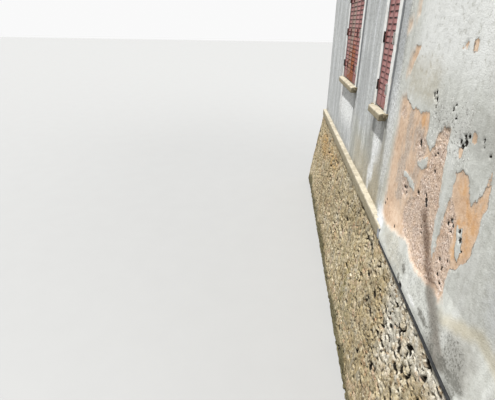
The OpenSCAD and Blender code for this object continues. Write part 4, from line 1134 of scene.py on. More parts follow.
# Window sills
# Cream limestone sills built into the wall, each with a thick middle that throws the rain clear and a thin
# horn at each side under the band. The tops are paler than the faces below them, and moss has taken hold on
# the horns.
sill_high, sill_out, sill_end = 0.078, 0.075, 0.070
horn_long, horn_lap, horn_out, horn_high = 0.055, 0.006, 0.038, 0.040
sill_fall, sill_seat = 0.010, 0.180


def sill(pile, side, left, right, top, seed):
    step = 0.02 if side == "river" and top < seam_height else 0.06
    low, high = (left - sill_end, -sill_out, top - sill_high), (right + sill_end, sill_seat, top)
    points, faces = worn_block(low, high, 0.005, step, 0.003, seed)
    share = rise(-points[:, 1], horn_out - 0.004, sill_out)
    points[:, 2] -= sill_fall * share * (points[:, 2] - top + sill_high) / sill_high
    up = rise(points[:, 2], top - 0.022, top - 0.012)
    pile.fix(side, (points, faces), stone=random.random(), top=up, moss=0.25 * (1 - up))
    for start in (left - sill_end - horn_long, right + sill_end - horn_lap):
        end = start + horn_long + horn_lap
        horn = worn_block((start, -horn_out, top - horn_high), (end, band_bed, top), 0.004, step, 0.002,
            seed + 1)
        pile.fix(side, horn, stone=random.random(), top=0.3, moss=0.8)


for node in ("wide_window_sill", "narrow_window_sill", "ground_window_sills", "upper_window_sills"):
    pile = Pile()
    for number, (side, left, right, low, high) in enumerate(windows[node.replace("sill", "surround")]):
        sill(pile, side, left, right, low, number + len(node))
    pile.finished(node + "_stone", limestone, "limestone", [node])


# Shutters
# Folding leaves of pressed sheet steel, hinged to one another, with louvres that lean out over a slit. The
# red paint has faded to pink, the second leaf of the wide window is weathered bare and the third has rusted.
leaf_back = 0.014
leaf_face = -0.012
stile, top_rail, bottom_rail = 0.024, 0.040, 0.062
louvre_pitch, louvre_slit, louvre_deep = 0.054, 0.007, 0.009
foot_gap, head_gap, jamb_gap, leaf_gap = 0.016, 0.006, 0.005, 0.003


def leaf(pile, side, left, right, low, high, seed, faded=0.1, rust=0.1):
    """One leaf of a shutter, from the sill and the head of its window"""
    near = side == "river" and low < seam_height
    foot, head = low + foot_gap, high - head_gap
    count = int((head - foot - top_rail - bottom_rail) / louvre_pitch)
    first = head - top_rail - count * louvre_pitch
    levels = [(foot, 0.0), (foot + 0.0012, 0.0), (foot + 0.003, 0.0), (foot + bottom_rail, 0.0),
        (first - 0.004, 0.0)]
    for row in range(count):
        slit, lip = first + row * louvre_pitch, first + row * louvre_pitch + louvre_slit
        levels += [(slit, louvre_deep), (lip - 0.001, louvre_deep), (lip, 0.0022)]
        levels += [(lip + 0.002, 0.001)] if near else []
        for share in (0.3, 0.6, 0.85) if near else (0.6,):
            levels.append((lip + share * (louvre_pitch - louvre_slit), 0.001 + (louvre_deep - 0.001)
                * share ** 0.8))
    levels += [(head - top_rail, louvre_deep), (head - top_rail + 0.003, 0.0), (head - 0.003, 0.0),
        (head, 0.0)]
    rows, depth = np.array(levels).T
    edges = [0, 0.0012, 0.003, 0.010, 0.012, 0.014, stile - 0.001, stile + 0.003, stile + 0.007]
    edges = edges if near else [0, 0.002, stile - 0.001, stile + 0.006]
    columns = lines([left + e for e in edges] + [right - e for e in reversed(edges)], 0.04 if near else 0.2)
    along, height = np.meshgrid(columns, rows)
    side_gap = np.minimum(along - left, right - along)
    pressed = rise(side_gap, stile - 0.001, stile + 0.007)
    bead = 0.0012 * rise(0.003 - np.abs(side_gap - 0.012), 0, 0.002)
    rim = np.minimum(side_gap, np.minimum(height - foot, head - height))
    places = on_front(side, along, 0, height)
    into = leaf_face + pressed * depth[:, None] + bead + rounded(rim, 0.003)
    into = into + 0.0012 * (1 + grain(places, 0.25, seed, 2)) * rise(rim, 0, 0.02)
    front = on_front(side, along, -into, height)
    across, up = np.meshgrid([left, right], [foot, head])
    back = on_front(side, across, -leaf_back, up)
    points, faces = slab(columns, rows, [left, right], [foot, head], [], front, back)
    slit = np.zeros(len(points))
    # The bottoms of the slits and the narrow edges of the leaves are marked for painted shade
    gap = 0.8 * rise(side_gap, 0.008, 0.001)
    slit[:pressed.size] = np.maximum(gap, pressed * (depth[:, None] > louvre_deep - 1e-6)).ravel()
    level = np.concatenate([((height - foot) / (head - foot)).ravel(), np.zeros(4)])
    pile.add(points, faces, slit=slit, faded=faded, rust=rust * rise(1.1 - level, 0, 1) ** 2 + 0.2 * rust,
        leaf=random.random())


def shutter_finish():
    """Faded red paint on steel, dull and chalky, with rust breaking through, and painted shade in the
    slits and at the edges of the leaves
    """
    red = Finish("shutter_paint", roughness=0.7, specular=0.3)
    cloud, fine = red.noise(0.06, 41, 4.0, 0.6), red.noise(0.007, 42, 3.0)
    colour = red.shades(red.mark("leaf") * 0.3 + cloud * 0.7, (0.3, (128, 80, 78)), (0.7, (168, 120, 118)))
    colour = red.mix(red.mark("faded") * cloud.rise(0.3, 0.55), colour, (140, 120, 108))
    spread = red.noise(0.035, 43, 5.0, 0.7) + (red.mark("rust") * 0.34 - 0.24)
    rust = spread.rise(0.48, 0.58)
    colour = red.mix(rust, colour, red.shades(fine, (0.35, (106, 58, 36)), (0.7, (166, 98, 60))))
    # Painted shade: the slits and the leaf edges are painted nearly black
    colour = red.mix(red.mark("slit") * 0.95, colour, (48, 28, 27))
    return red.wear(colour, (fine + rust) * 0.4, 0.001, rust.rise(0.0, 1.0, 0.62, 0.95))


def leaves(side, left, right, low, high):
    """The left and right edges of the leaves that close a window"""
    count = 4 if right - left > 0.8 else 2
    wide = (right - left - 2 * jamb_gap - (count - 1) * leaf_gap) / count
    starts = [left + jamb_gap + n * (wide + leaf_gap) for n in range(count)]
    return [(side, start, start + wide, low, high) for start in starts]


shutter_paint = shutter_finish()
for name, wears in (("wide", ((0.25, 0.35), (1.0, 0.7), (0.2, 1.0), (0.15, 0.25))),
        ("narrow", ((0.2, 0.3), (0.1, 0.35)))):
    for number, edges in enumerate(leaves(*windows[name + "_window_surround"][0])):
        node = name + "_shutter_leaf_" + str(number + 1)
        pile = Pile()
        leaf(pile, *edges, 61 + number, *wears[number])
        pile.finished(node + "_steel", shutter_paint, "shutter_paint", [node], crease=35)
for storey in ("ground", "upper"):
    node = storey + "_shutters"
    pile = Pile()
    for opening in windows[storey + "_window_surrounds"]:
        for edges in leaves(*opening):
            leaf(pile, *edges, 81 + pile.count % 97, 0.4 * random.random(), 0.5 * random.random())
    pile.finished(node + "_steel", shutter_paint, "shutter_paint", [node], crease=35)


# Shutter hinges
# Black wrought plates screwed to the bands and to the leaves, three up each window, with a knuckle in front
# of the band at the jambs and a smaller knuckle over the seams where the leaves fold.
hinge_high, hinge_wide, hinge_thick = 0.100, 0.028, 0.003
knuckle = 0.007
hinge_feet = (0.161, 0.605, 1.049)


def flat(outline, front, back, arris):
    """A plate between two depths, from the outline of its face, with a rounded front arris"""
    shape = np.array(outline)
    along = np.roll(shape, -1, 0) - shape
    normal = np.stack([-along[:, 1], along[:, 0]], 1) / np.linalg.norm(along, axis=1, keepdims=True)
    lean = normal + np.roll(normal, 1, 0)
    lean = lean / np.maximum((lean * normal).sum(1, keepdims=True), 0.3)
    rings = [(shape, back), (shape, front + arris), (shape + lean * arris * 0.3, front + arris * 0.3),
        (shape + lean * arris, front)]
    return swept([np.stack([ring[:, 0], np.full(len(ring), depth), ring[:, 1]], 1) for ring, depth in rings])


def oblong(left, right, low, high, corner, turns=3):
    """The outline of a rectangle with rounded corners"""
    outline = []
    for x, z, start in ((right - corner, low + corner, -90), (right - corner, high - corner, 0),
            (left + corner, high - corner, 90), (left + corner, low + corner, 180)):
        for n in range(turns + 1):
            angle = math.radians(start + 90 * n / turns)
            outline.append((x + corner * math.cos(angle), z + corner * math.sin(angle)))
    return outline


def turned(profile, sides, looped=False):
    """A round piece about the upright axis, from its radii and levels from the bottom up"""
    turn = np.arange(sides) * 2 * math.pi / sides
    radius, level = np.array(profile).T[:, :, None]
    return swept(np.stack([radius * np.cos(turn), radius * np.sin(turn), level + 0 * turn], -1), looped)


def facing_out(points):
    """Turns a round piece so that its axis points out of the wall"""
    return points @ np.array([[1, 0, 0], [0, 0, 1], [0, -1, 0]], float)


def hinge_pin(radius, height, plain=False):
    third = height / 3
    profile = [(radius - 0.001, 0.0), (radius, 0.001)]
    for joint in () if plain else (third, 2 * third):
        profile += [(radius, joint - 0.0008), (radius - 0.0016, joint - 0.0004),
            (radius - 0.0016, joint + 0.0004), (radius, joint + 0.0008)]
    return turned(profile + [(radius, height - 0.001), (radius - 0.001, height)], 8 if plain else 14)


def screws(pile, side, spots, depth, radius=0.0042, sides=8):
    profile = [(radius, -0.001), (radius, 0.0004), (radius * 0.8, 0.0012), (radius * 0.35, 0.0016)]
    points, faces = turned(profile, sides)
    for x, z in spots:
        pile.fix(side, (facing_out(points), faces), (x, depth, z), rust=random.random(), red=0.5)


def jamb_hinge(pile, side, jamb, inward, foot, plain):
    """A hinge at the side of an opening; inward is 1 at the left side and -1 at the right"""
    def across(first, second):
        ends = sorted((jamb + inward * first, jamb + inward * second))
        return oblong(ends[0], ends[1], foot, foot + hinge_high, 0.004, 1 if plain else 3)

    rust = random.random()
    on_leaf, on_band = across(jamb_gap, jamb_gap + hinge_wide), across(-hinge_wide, jamb_gap + hinge_thick)
    for outline, face, red, white in ((on_leaf, leaf_face, 0.8, 0.0), (on_band, -band_out, 0.0, 0.8)):
        plate = flat(outline, face - hinge_thick, face + 0.001, 0.001)
        pile.fix(side, plate, rust=rust, red=red, white=white)
    x0, x1 = sorted((jamb + inward * jamb_gap, jamb + inward * (jamb_gap + hinge_thick)))
    low, high = (x0, -band_out - knuckle, foot), (x1, leaf_face, foot + hinge_high)
    pile.fix(side, dressed_block(low, high, 0.001, 1.0, ()), rust=rust)
    pin = (jamb + inward * (jamb_gap - knuckle / 2), -band_out - knuckle, foot)
    pile.fix(side, hinge_pin(knuckle, hinge_high, plain), pin, rust=rust, white=0.6 * (inward < 0))
    spots = [(jamb - inward * 0.020, foot + share * hinge_high) for share in (0.16, 0.84)]
    screws(pile, side, spots, -band_out - hinge_thick, sides=5 if plain else 8)
    spots = [(jamb + inward * 0.024, foot + share * hinge_high) for share in (0.16, 0.84)]
    screws(pile, side, spots, leaf_face - hinge_thick, sides=5 if plain else 8)


def fold_hinge(pile, side, seam, foot, plain):
    rust = random.random()
    outline = oblong(seam - hinge_wide / 2, seam + hinge_wide / 2, foot, foot + hinge_high, 0.004,
        1 if plain else 3)
    pile.fix(side, flat(outline, leaf_face - hinge_thick, leaf_face + 0.001, 0.001), rust=rust, red=0.8)
    pin = (seam, leaf_face - hinge_thick - 0.0045, foot)
    pile.fix(side, hinge_pin(0.0055, hinge_high, plain), pin, rust=rust, red=0.2)
    spots = [(seam + sign * 0.0096, foot + share * hinge_high) for sign in (-1, 1) for share in (0.14, 0.86)]
    screws(pile, side, spots, leaf_face - hinge_thick, 0.0034, 5 if plain else 8)


def hinges(pile, side, left, right, low, high):
    found = leaves(side, left, right, low, high)
    plain = side != "river" or low > seam_height
    for foot in hinge_feet:
        jamb_hinge(pile, side, left, 1, low + foot, plain)
        jamb_hinge(pile, side, right, -1, low + foot, plain)
        if len(found) > 2:
            fold_hinge(pile, side, (found[0][2] + found[1][1]) / 2, low + foot, plain)
            fold_hinge(pile, side, (found[2][2] + found[3][1]) / 2, low + foot, plain)


def iron_finish():
    """Black paint on wrought iron, dull, with rust at the edges"""
    iron = Finish("black_iron", roughness=0.55, specular=0.4, metallic=0.0)
    fine, cloud = iron.noise(0.004, 51, 3.0), iron.noise(0.02, 52, 4.0, 0.65)
    colour = iron.shades(cloud, (0.3, (22, 22, 24)), (0.75, (52, 50, 50)))
    rust = (iron.mark("rust") * 0.18 + cloud).rise(0.62, 0.7)
    colour = iron.mix(rust, colour, (96, 56, 36))
    colour = iron.mix(iron.mark("red"), colour, (142, 88, 84))
    colour = iron.mix(iron.mark("white"), colour, (214, 213, 208))
    return iron.wear(colour, fine + rust, 0.0008, rust.rise(0.0, 1.0, 0.5, 0.9))


black_iron = iron_finish()
for node, bands in (("river_shutter_hinges", surround_nodes[:2]),
        ("ground_shutter_hinges", surround_nodes[2:3]), ("upper_shutter_hinges", surround_nodes[3:])):
    pile = Pile()
    for opening in [opening for band_node in bands for opening in windows[band_node]]:
        hinges(pile, *opening)
    pile.finished(node + "_iron", black_iron, "black_iron", [node], crease=35)


# Doorway
# A boarded door on strap hinges in a timber frame, in the landward wall, over a stone threshold worn down in
# its middle. The boards and the frame are painted the red of the shutters; the ironwork is forged, with a
# lock plate.
frame_in, frame_back, frame_wide = 0.120, 0.190, 0.070
door_face, door_back = 0.124, 0.169
left, right, door_head = doorway[1], doorway[2], doorway[4]
door_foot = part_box("door_threshold")[1].z
door_middle = (left + right) / 2
leaf_low, leaf_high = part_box("door_leaf")
half_leaf = (leaf_high.x - leaf_low.x) / 2


def painted_wood_finish():
    """Faded red paint over wood, worn through along the grain"""
    wood = Finish("painted_wood", roughness=0.65, specular=0.35)
    cloud, along = wood.noise(0.1, 61, 4.0, 0.6), wood.noise(0.006, 62, 3.0, 0.6, (1, 1, 22))
    colour = wood.shades(wood.mark("board") * 0.3 + cloud * 0.7, (0.3, (132, 70, 64)), (0.7, (170, 106, 98)))
    bare = (along * 0.5 + cloud * 0.5).rise(0.6, 0.66)
    colour = wood.mix(bare, colour, (146, 126, 104))
    return wood.wear(colour, bare * -0.6 + along, 0.001)


painted_wood = painted_wood_finish()
threshold_low, threshold_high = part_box("door_threshold")
low = (left, half_depth - threshold_high.y, threshold_low.z)
points, faces = worn_block(low, (right, half_depth - threshold_low.y, door_foot), 0.008, 0.03, 0.003, 5)
tread = rise(0.32 - np.abs(points[:, 0] - door_middle), 0, 0.25) * rise(points[:, 2], door_foot - 0.02,
    door_foot)
points[:, 2] -= 0.008 * tread
pile = Pile()
pile.fix("landward", (points, faces), top=1.0)
pile.finished("door_threshold_stone", limestone, "limestone", ["door_threshold"], crease=55)
pile = Pile()
post_in, lintel_in = left + frame_wide, left + frame_wide + 0.001
timbers = [(left, post_in, frame_in, door_foot), (right - frame_wide, right, frame_in, door_foot),
    (lintel_in, right - frame_wide - 0.001, frame_in + 0.001, door_head - frame_wide)]
for start, end, front, foot in timbers:
    low, high = (start, front, foot), (end, frame_back, door_head)
    pile.fix("landward", worn_block(low, high, 0.004, 0.08, 0.001, 9), board=random.random())
pile.finished("door_frame_timbers", painted_wood, "painted_wood", ["door_frame"])
pile = Pile()
boards = 7
for board in range(boards):
    start = door_middle - half_leaf + 2 * half_leaf * board / boards
    low = (start + 0.0004, door_face, leaf_low.z + 0.002 * random.random())
    high = (start + 2 * half_leaf / boards - 0.0004, door_back, leaf_high.z)
    pile.fix("landward", worn_block(low, high, 0.005, 0.12, 0.0008, 13 + board), board=random.random())
pile.finished("door_leaf_boards", painted_wood, "painted_wood", ["door_leaf"])
pile = Pile()
hung = door_middle - half_leaf
strap_deep = 0.006
on_leaf = door_face - strap_deep, door_face + 0.001
for foot in (leaf_low.z + 0.300, leaf_high.z - 0.350):
    tip = [(hung + 0.520 + 0.020 * math.cos(a), foot + 0.025 + 0.018 * math.sin(a)) for a in (-1.2, -0.6, 0,
        0.6, 1.2)]
    outline = [(hung + 0.006, foot)] + tip + [(hung + 0.006, foot + 0.050)]
    pile.fix("landward", flat(outline, *on_leaf, 0.0015), rust=random.random())
    outline = oblong(hung - 0.039, hung - 0.004, foot, foot + 0.050, 0.004)
    pile.fix("landward", flat(outline, frame_in - strap_deep, frame_in + 0.001, 0.0015),
        rust=random.random())
    pile.fix("landward", hinge_pin(0.0075, 0.050), (hung + 0.001, door_face - 0.007, foot), rust=0.3)
    spots = [(hung + reach, foot + 0.025) for reach in (0.05, 0.17, 0.29, 0.41, 0.515)]
    screws(pile, "landward", spots, on_leaf[0], 0.008)
    screws(pile, "landward", [(hung - 0.026, foot + rise_up) for rise_up in (0.012, 0.038)],
        frame_in - strap_deep)
lock_across, lock_up = door_middle + half_leaf - 0.066, door_foot + 1.0
outline = oblong(lock_across - 0.023, lock_across + 0.023, lock_up - 0.100, lock_up + 0.100, 0.010, 5)
pile.fix("landward", flat(outline, *on_leaf, 0.0015), rust=0.4)
screws(pile, "landward", [(lock_across, lock_up + far) for far in (-0.088, 0.088)], on_leaf[0])
knob = [(0.011, 0.0), (0.0115, 0.004), (0.006, 0.009), (0.005, 0.020), (0.008, 0.027), (0.0115, 0.034),
    (0.012, 0.040), (0.0105, 0.046), (0.006, 0.0495)]
points, faces = turned(knob, 20)
pile.fix("landward", (facing_out(points), faces), (lock_across, door_face - 0.0005, lock_up), rust=0.1)
pile.finished("door_ironwork_forged", black_iron, "black_iron", ["door_ironwork"], crease=35)


# Floors
# Softwood boards nailed across joists, on the base at the ground floor and built into the walls at the upper
# one.
board_thick, board_wide, joist_wide, joist_apart = 0.027, 0.18, 0.075, 0.45


def timber_finish():
    """Grey-brown softwood with its grain along the X axis of the house"""
    wood = Finish("timber", roughness=0.8, specular=0.25)
    cloud, along = wood.noise(0.15, 71, 4.0, 0.6), wood.noise(0.008, 72, 4.0, 0.6, (14, 1, 1))
    tone = along * 0.5 + cloud * 0.35
    tone = wood.mark("board") * 0.15 + tone
    colour = wood.shades(tone, (0.3, (98, 78, 58)), (0.7, (158, 134, 104)), (0.5, (128, 106, 80)))
    return wood.wear(colour, along, 0.002)


timber = timber_finish()
for node in ("ground_floor", "upper_floor"):
    low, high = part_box(node)
    pile = Pile()
    across = lines([low.y, high.y], board_wide)
    for start, end in zip(across, across[1:]):
        corner = (low.x, start + 0.001, high.z - board_thick)
        board = dressed_block(corner, (high.x, end - 0.001, high.z), 0.002, 2.0, ())
        pile.add(*board[:2], board=random.random())
    count = math.ceil((high.x - low.x - joist_wide) / joist_apart)
    for number in range(count + 1):
        start = low.x + (high.x - low.x - joist_wide) * number / count
        ends = (start, low.y, low.z), (start + joist_wide, high.y, high.z - board_thick - 0.0005)
        pile.add(*dressed_block(*ends, 0.003, 2.0, ())[:2], board=random.random())
    pile.finished(node + "_boards", timber, "timber", [node], crease=40)


# Rafters
# Sawn softwood rafters 80 by 120 mm, birdsmouthed over the wall heads and nailed to the ridge board, with
# their feet showing under the eaves.
def eased(node, arris):
    """Points and faces of a CAD node with its arrises rounded off"""
    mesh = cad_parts[node].data
    work = bmesh.new()
    work.from_mesh(mesh)
    bmesh.ops.remove_doubles(work, verts=work.verts, dist=1e-5)
    bmesh.ops.dissolve_limit(work, angle_limit=0.01, verts=work.verts, edges=work.edges)
    sharp = [edge for edge in work.edges if edge.is_manifold and edge.calc_face_angle() > 0.5]
    bmesh.ops.bevel(work, geom=sharp, offset=arris, segments=2, profile=0.6, affect="EDGES")
    work.verts.index_update()
    points = np.array([v.co for v in work.verts])
    faces = [[v.index for v in face.verts] for face in work.faces]
    work.free()
    return points, faces


for node in ("rafters", "ridge_beam"):
    points, faces = eased(node, 0.004)
    place, slope = np.round(points[:, 0] / 0.3), np.sign(points[:, 1])
    number = scatter(place.astype(np.int64), slope.astype(np.int64), 0, 3)
    points[:, 0] += 0.0008 * grain(points, 0.2, 17, 2)
    piece(node + "_sawn", points, faces, timber, "timber", [node], crease=35, board=number)


# Roof
# Interlocking clay tiles on battens and boards, about fifteen to the square metre, each with a raised roll
# at one side and a rib down its middle. Barge boards close the verges, and the tiles stop short round the
# chimney.
pitch = math.atan2(gable_top - gable_edge_top, half_depth)
roof_end, roof_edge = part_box("river_roof_slope")[1].x, -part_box("river_roof_slope")[0].y
slope_long = roof_edge / math.cos(pitch)
boarding, batten, tile_bed = 0.020, 0.028, 0.053
stack_low, stack_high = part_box("chimney_stack")


def on_slope(side, down, along, lift):
    """Points on a roof slope: down it from the ridge, along the house, and out square to its underside"""
    sign = -1 if side == "river" else 1
    y = sign * (down * math.cos(pitch) + lift * math.sin(pitch))
    z = gable_top - down * math.sin(pitch) + lift * math.cos(pitch)
    return np.stack(np.broadcast_arrays(-sign * along, y, z), -1)


def tile_shape(wide, long):
    """A tile lying flat: points as along, down and lift, its faces, and a top that rolls up at one side"""
    across = np.array([0, 0.009, 0.020, 0.031, 0.044, 0.093, 0.104, 0.115, 0.208])
    lift = np.array([0, 0.018, 0.022, 0.018, 0.004, 0.003, 0.010, 0.003, 0.006])
    down = np.array([0, 0.96, 1.0]) * long
    slope = np.array([0.0, 0.0225, 0.020])
    shape = np.array([0.5, 1.0, 0.9])
    x, s = np.meshgrid(across * wide / 0.208, down)
    top = 0.012 + slope[:, None] + lift[None, :] * shape[:, None]
    bottom = top - 0.012
    points = np.concatenate([np.stack([x, s, level], -1).reshape(-1, 3) for level in (top, bottom)])
    columns, rows = len(across), len(down)
    half, faces = columns * rows, []
    for r in range(rows - 1):
        for c in range(columns - 1):
            a = r * columns + c
            faces.append([a, a + columns, a + columns + 1, a + 1])
            faces.append([a + half, a + half + 1, a + half + columns + 1, a + half + columns])
    rim = [(c, c + 1) for c in range(columns - 1)]
    rim += [(r * columns + columns - 1, (r + 1) * columns + columns - 1) for r in range(rows - 1)]
    rim += [((rows - 1) * columns + c + 1, (rows - 1) * columns + c) for c in reversed(range(columns - 1))]
    rim += [((r + 1) * columns, r * columns) for r in reversed(range(rows - 1))]
    faces += [[a, b, b + half, a + half] for a, b in rim]
    return points, faces


def tile_finish():
    """Weathered red-brown clay with grey lichen, each tile fired a little differently"""
    clay = Finish("roof_tile", roughness=0.85, specular=0.25)
    cloud, fine = clay.noise(0.04, 81, 4.0, 0.62), clay.noise(0.006, 82, 3.0)
    tone = clay.mark("tile") * 0.42 + (cloud * 0.35 + 0.11)
    colour = clay.shades(tone, (0.2, (88, 62, 50)), (0.85, (140, 98, 76)), (0.5, (114, 78, 60)))
    moss = clay.noise(0.3, 83, 4.0, 0.6).rise(0.46, 0.62, 0.0, 0.6)
    moss = moss * clay.noise(0.02, 84, 4.0, 0.65).rise(0.42, 0.6)
    colour = clay.mix(moss, colour, (92, 90, 74))
    lichen = clay.cells(0.05, 85).rise(0.22, 0.12)
    colour = clay.mix(lichen * 0.5, colour, (142, 138, 122))
    return clay.wear(colour, moss * 0.5 + fine, 0.002)


roof_tile = tile_finish()
tile_count, tile_rows = 43, 14
tile_wide = 2 * roof_end / tile_count
tile_long = 0.365
gauge = (slope_long - 0.06 - tile_long) / (tile_rows - 1)
shape, shape_faces = tile_shape(tile_wide + 0.004, tile_long)
for side in ("river", "landward"):
    pile = Pile()
    sign = 1 if side == "river" else -1
    for row in range(tile_rows):
        for column in range(tile_count):
            points = shape.copy()
            points[:, 0] = np.clip(points[:, 0] + column * tile_wide - roof_end, 0.001 - roof_end,
                roof_end - 0.001)
            points[:, 1] += 0.045 + row * gauge + random.uniform(-0.003, 0.003)
            points[:, 2] += tile_bed + random.uniform(-0.001, 0.001)
            across = sign * points[:, 0]
            if across.min() < stack_high.x - 0.03 and across.max() > stack_low.x + 0.03:
                clear = (stack_high.y - 0.02) / math.cos(pitch)
                if points[:, 1].max() < clear + 0.03:
                    continue
                points[:, 1] = np.maximum(points[:, 1], clear)
            pile.add(on_slope(side, points[:, 1], points[:, 0], points[:, 2]), shape_faces,
                tile=random.random())
    pile.finished(side + "_roof_tiles", roof_tile, "roof_tile", [side + "_roof_slope"], crease=50)
    pile = Pile()
    seats = lines([0.0, slope_long - 0.004], 0.15)
    stack_ends = sorted((sign * (stack_low.x + 0.02), sign * (stack_high.x - 0.02)))
    strips = [(start + 0.001, end - 0.001, 0.0, boarding) for start, end in zip(seats, seats[1:])]
    strips += [(0.06 + row * gauge, 0.098 + row * gauge, boarding, boarding + batten)
        for row in range(tile_rows)]
    for start, end, under, over in strips:
        spans = [(-roof_end + 0.022, roof_end - 0.022)]
        if start < stack_high.y / math.cos(pitch) - 0.02:
            spans = [(-roof_end + 0.022, stack_ends[0]), (stack_ends[1], roof_end - 0.022)]
        for first, last in spans:
            points, faces, lean = dressed_block((start, first, under), (end, last, over), 0.002, 3.0, ())
            pile.add(on_slope(side, *points.T), faces, board=random.random())
    for end in (-1, 1):
        ends = sorted((end * roof_end, end * (roof_end - 0.021)))
        for start, stop in ((0.0, slope_long / 2), (slope_long / 2 + 0.002, slope_long - 0.004)):
            points, faces, lean = dressed_block((start, ends[0], 0.0), (stop, ends[1], 0.062), 0.003, 0.4)
            pile.add(on_slope(side, *points.T), faces, board=random.random())
    pile.finished(side + "_roof_boarding", timber, "timber", crease=40)


# Ridge
# Half-round clay ridge tiles, each with a collar that laps over the end of the next, bedded on a body of
# mortar that was struck off against the top tiles of both slopes.
ridge_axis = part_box("river_roof_slope")[1].z - 0.060
ridge_radius, collar_radius, collar_long, ridge_clay = 0.130, 0.142, 0.060, 0.014
ridge_count = 22


def arc(radius, start, end, steps, across=0.0, up=0.0):
    """Points round an arc, in degrees from the upright, as across and up"""
    turn = np.radians(np.linspace(start, end, steps))
    return np.stack([across + radius * np.sin(turn), up + radius * np.cos(turn)], 1)


def along_ridge(stations, outline_at):
    """A body along the X axis, whose outline of across and up is given for each station"""
    return swept([np.insert(outline_at(x), 0, x, axis=1) for x in stations])


def brick_mortar_finish():
    """Grey-buff lime mortar, rough and a little stained"""
    mortar = Finish("mortar", roughness=0.95, specular=0.15)
    cloud, fine = mortar.noise(0.05, 91, 4.0, 0.65), mortar.noise(0.006, 92, 3.0)
    colour = mortar.shades(cloud, (0.3, (132, 124, 108)), (0.7, (186, 178, 160)))
    return mortar.wear(colour, cloud + fine, 0.003)


mortar = brick_mortar_finish()
lengths = [(-roof_end + 0.004, stack_low.x + 0.01), (stack_high.x - 0.01, roof_end - 0.004)]
pile = Pile()
for number in range(ridge_count):
    start = -roof_end + number * 2 * roof_end / ridge_count
    end = start + 2 * roof_end / ridge_count + 0.045
    for first, last in lengths:
        head, tail = max(start, first - 0.004), min(end, last + 0.004)
        if tail - head < 0.05:
            continue
        whole = head == start
        stops = [0.0, 0.003, collar_long - 0.008, collar_long, 0.2, 1.0]
        swell = [0.0, 1.0, 1.0, 0.0, 0.0, 0.0] if whole else [0.0] * 6
        stations = [head + s for s in stops[:-1] if head + s < tail - 0.01] + [tail]
        tilt = random.uniform(-0.002, 0.002)

        def shell(x):
            share = np.interp(x - head, stops, swell)
            radius = ridge_radius - 0.002 * (x - head) / 0.4 + share * (collar_radius - ridge_radius)
            outer = arc(radius, 100, -100, 21, tilt, ridge_axis)
            return np.concatenate([outer, arc(radius - ridge_clay, -100, 100, 21, tilt, ridge_axis)])

        points, faces = along_ridge(stations, shell)
        pile.add(points, faces, tile=random.random())
pile.finished("ridge_tiles_clay", roof_tile, "roof_tile", ["ridge_tiles"], crease=50)
pile = Pile()
for first, last in lengths:
    def bedding_outline(x):
        fall = math.tan(pitch)
        foot = gable_top + 0.083 / math.cos(pitch) - 0.158 * fall
        side_line = [(0.158, foot), (0.150, foot + 0.018), (0.128, ridge_axis - 0.022)]
        lumps = grain(np.array([[x, 0.0, n * 0.1] for n in range(3)]), 0.07, 19, 2) * 0.005
        right = [(y + lump, z + lump * 0.5) for (y, z), lump in zip(side_line, lumps)]
        left = [(-y + lump, z - lump * 0.5) for (y, z), lump in zip(side_line, lumps)][::-1]
        top = arc(ridge_radius - ridge_clay - 0.002, 95, -95, 9, 0, ridge_axis)
        return np.concatenate([np.array(right), top, np.array(left), np.array([(0.0, foot - 0.01)])])

    points, faces = along_ridge(lines([first, last], 0.04), bedding_outline)
    pile.add(points, faces)
pile.finished("ridge_mortar", mortar, "roof_tile", crease=60)


# Gutters and downpipes
# Zinc half-round gutters with a rolled front edge, hung in flat straps from the edge of the roof, with
# soldered laps. Each empties through an outlet and a swan neck into a pipe clipped to the wall, open at its
# foot.
gutter_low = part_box("gutters")[0]
gutter_radius, zinc_sheet, strap_thick = 0.0588, 0.002, 0.0028
gutter_half = 0.062
gutter_axis = gutter_low.z + gutter_half
gutter_centre = roof_edge + gutter_half
pipe_radius, pipe_foot = 0.040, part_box("downpipes")[0].z
pipe_across, pipe_out = half_length - 0.200, 0.070
clip_radius, clip_apart = 0.0445, 1.5


def zinc_finish():
    """Dull blue-grey zinc, streaked paler and darker by the weather"""
    zinc = Finish("zinc", roughness=0.5, specular=0.5, metallic=0.75)
    cloud, streaks = zinc.noise(0.12, 101, 4.0, 0.6), zinc.noise(0.03, 102, 3.0, 0.6, (1, 1, 10))
    tone = streaks * 0.5 + cloud * 0.5
    colour = zinc.shades(tone, (0.3, (118, 124, 128)), (0.7, (176, 182, 184)))
    return zinc.wear(colour, cloud, 0.0008, tone.rise(0.3, 0.7, 0.4, 0.65))


def gutter_outline(radius, thick, back, bead):
    """A half-round channel seen from its end: outwards from the roof edge and up from its axis"""
    outer = arc(radius, 90, 270, 17)
    wall_side = -gutter_half
    rear = np.array([(wall_side, 0.0), (wall_side, back), (wall_side + thick, back),
        (wall_side + thick, 0.001)])
    inner = arc(radius - thick, 268, 92, 17)
    roll = np.array([(radius - 0.008, 0.0035), (radius - 0.004, 0.0065),
        (radius, 0.004)]) if bead else inner[:0]
    return np.concatenate([outer, rear, inner, roll])


def hung(side, stations, outline):
    """A body along a gutter, from its outline"""
    out, up = gutter_centre - half_depth + outline[:, 0], gutter_axis + outline[:, 1]
    return swept([on_front(side, x, out, up) for x in stations])


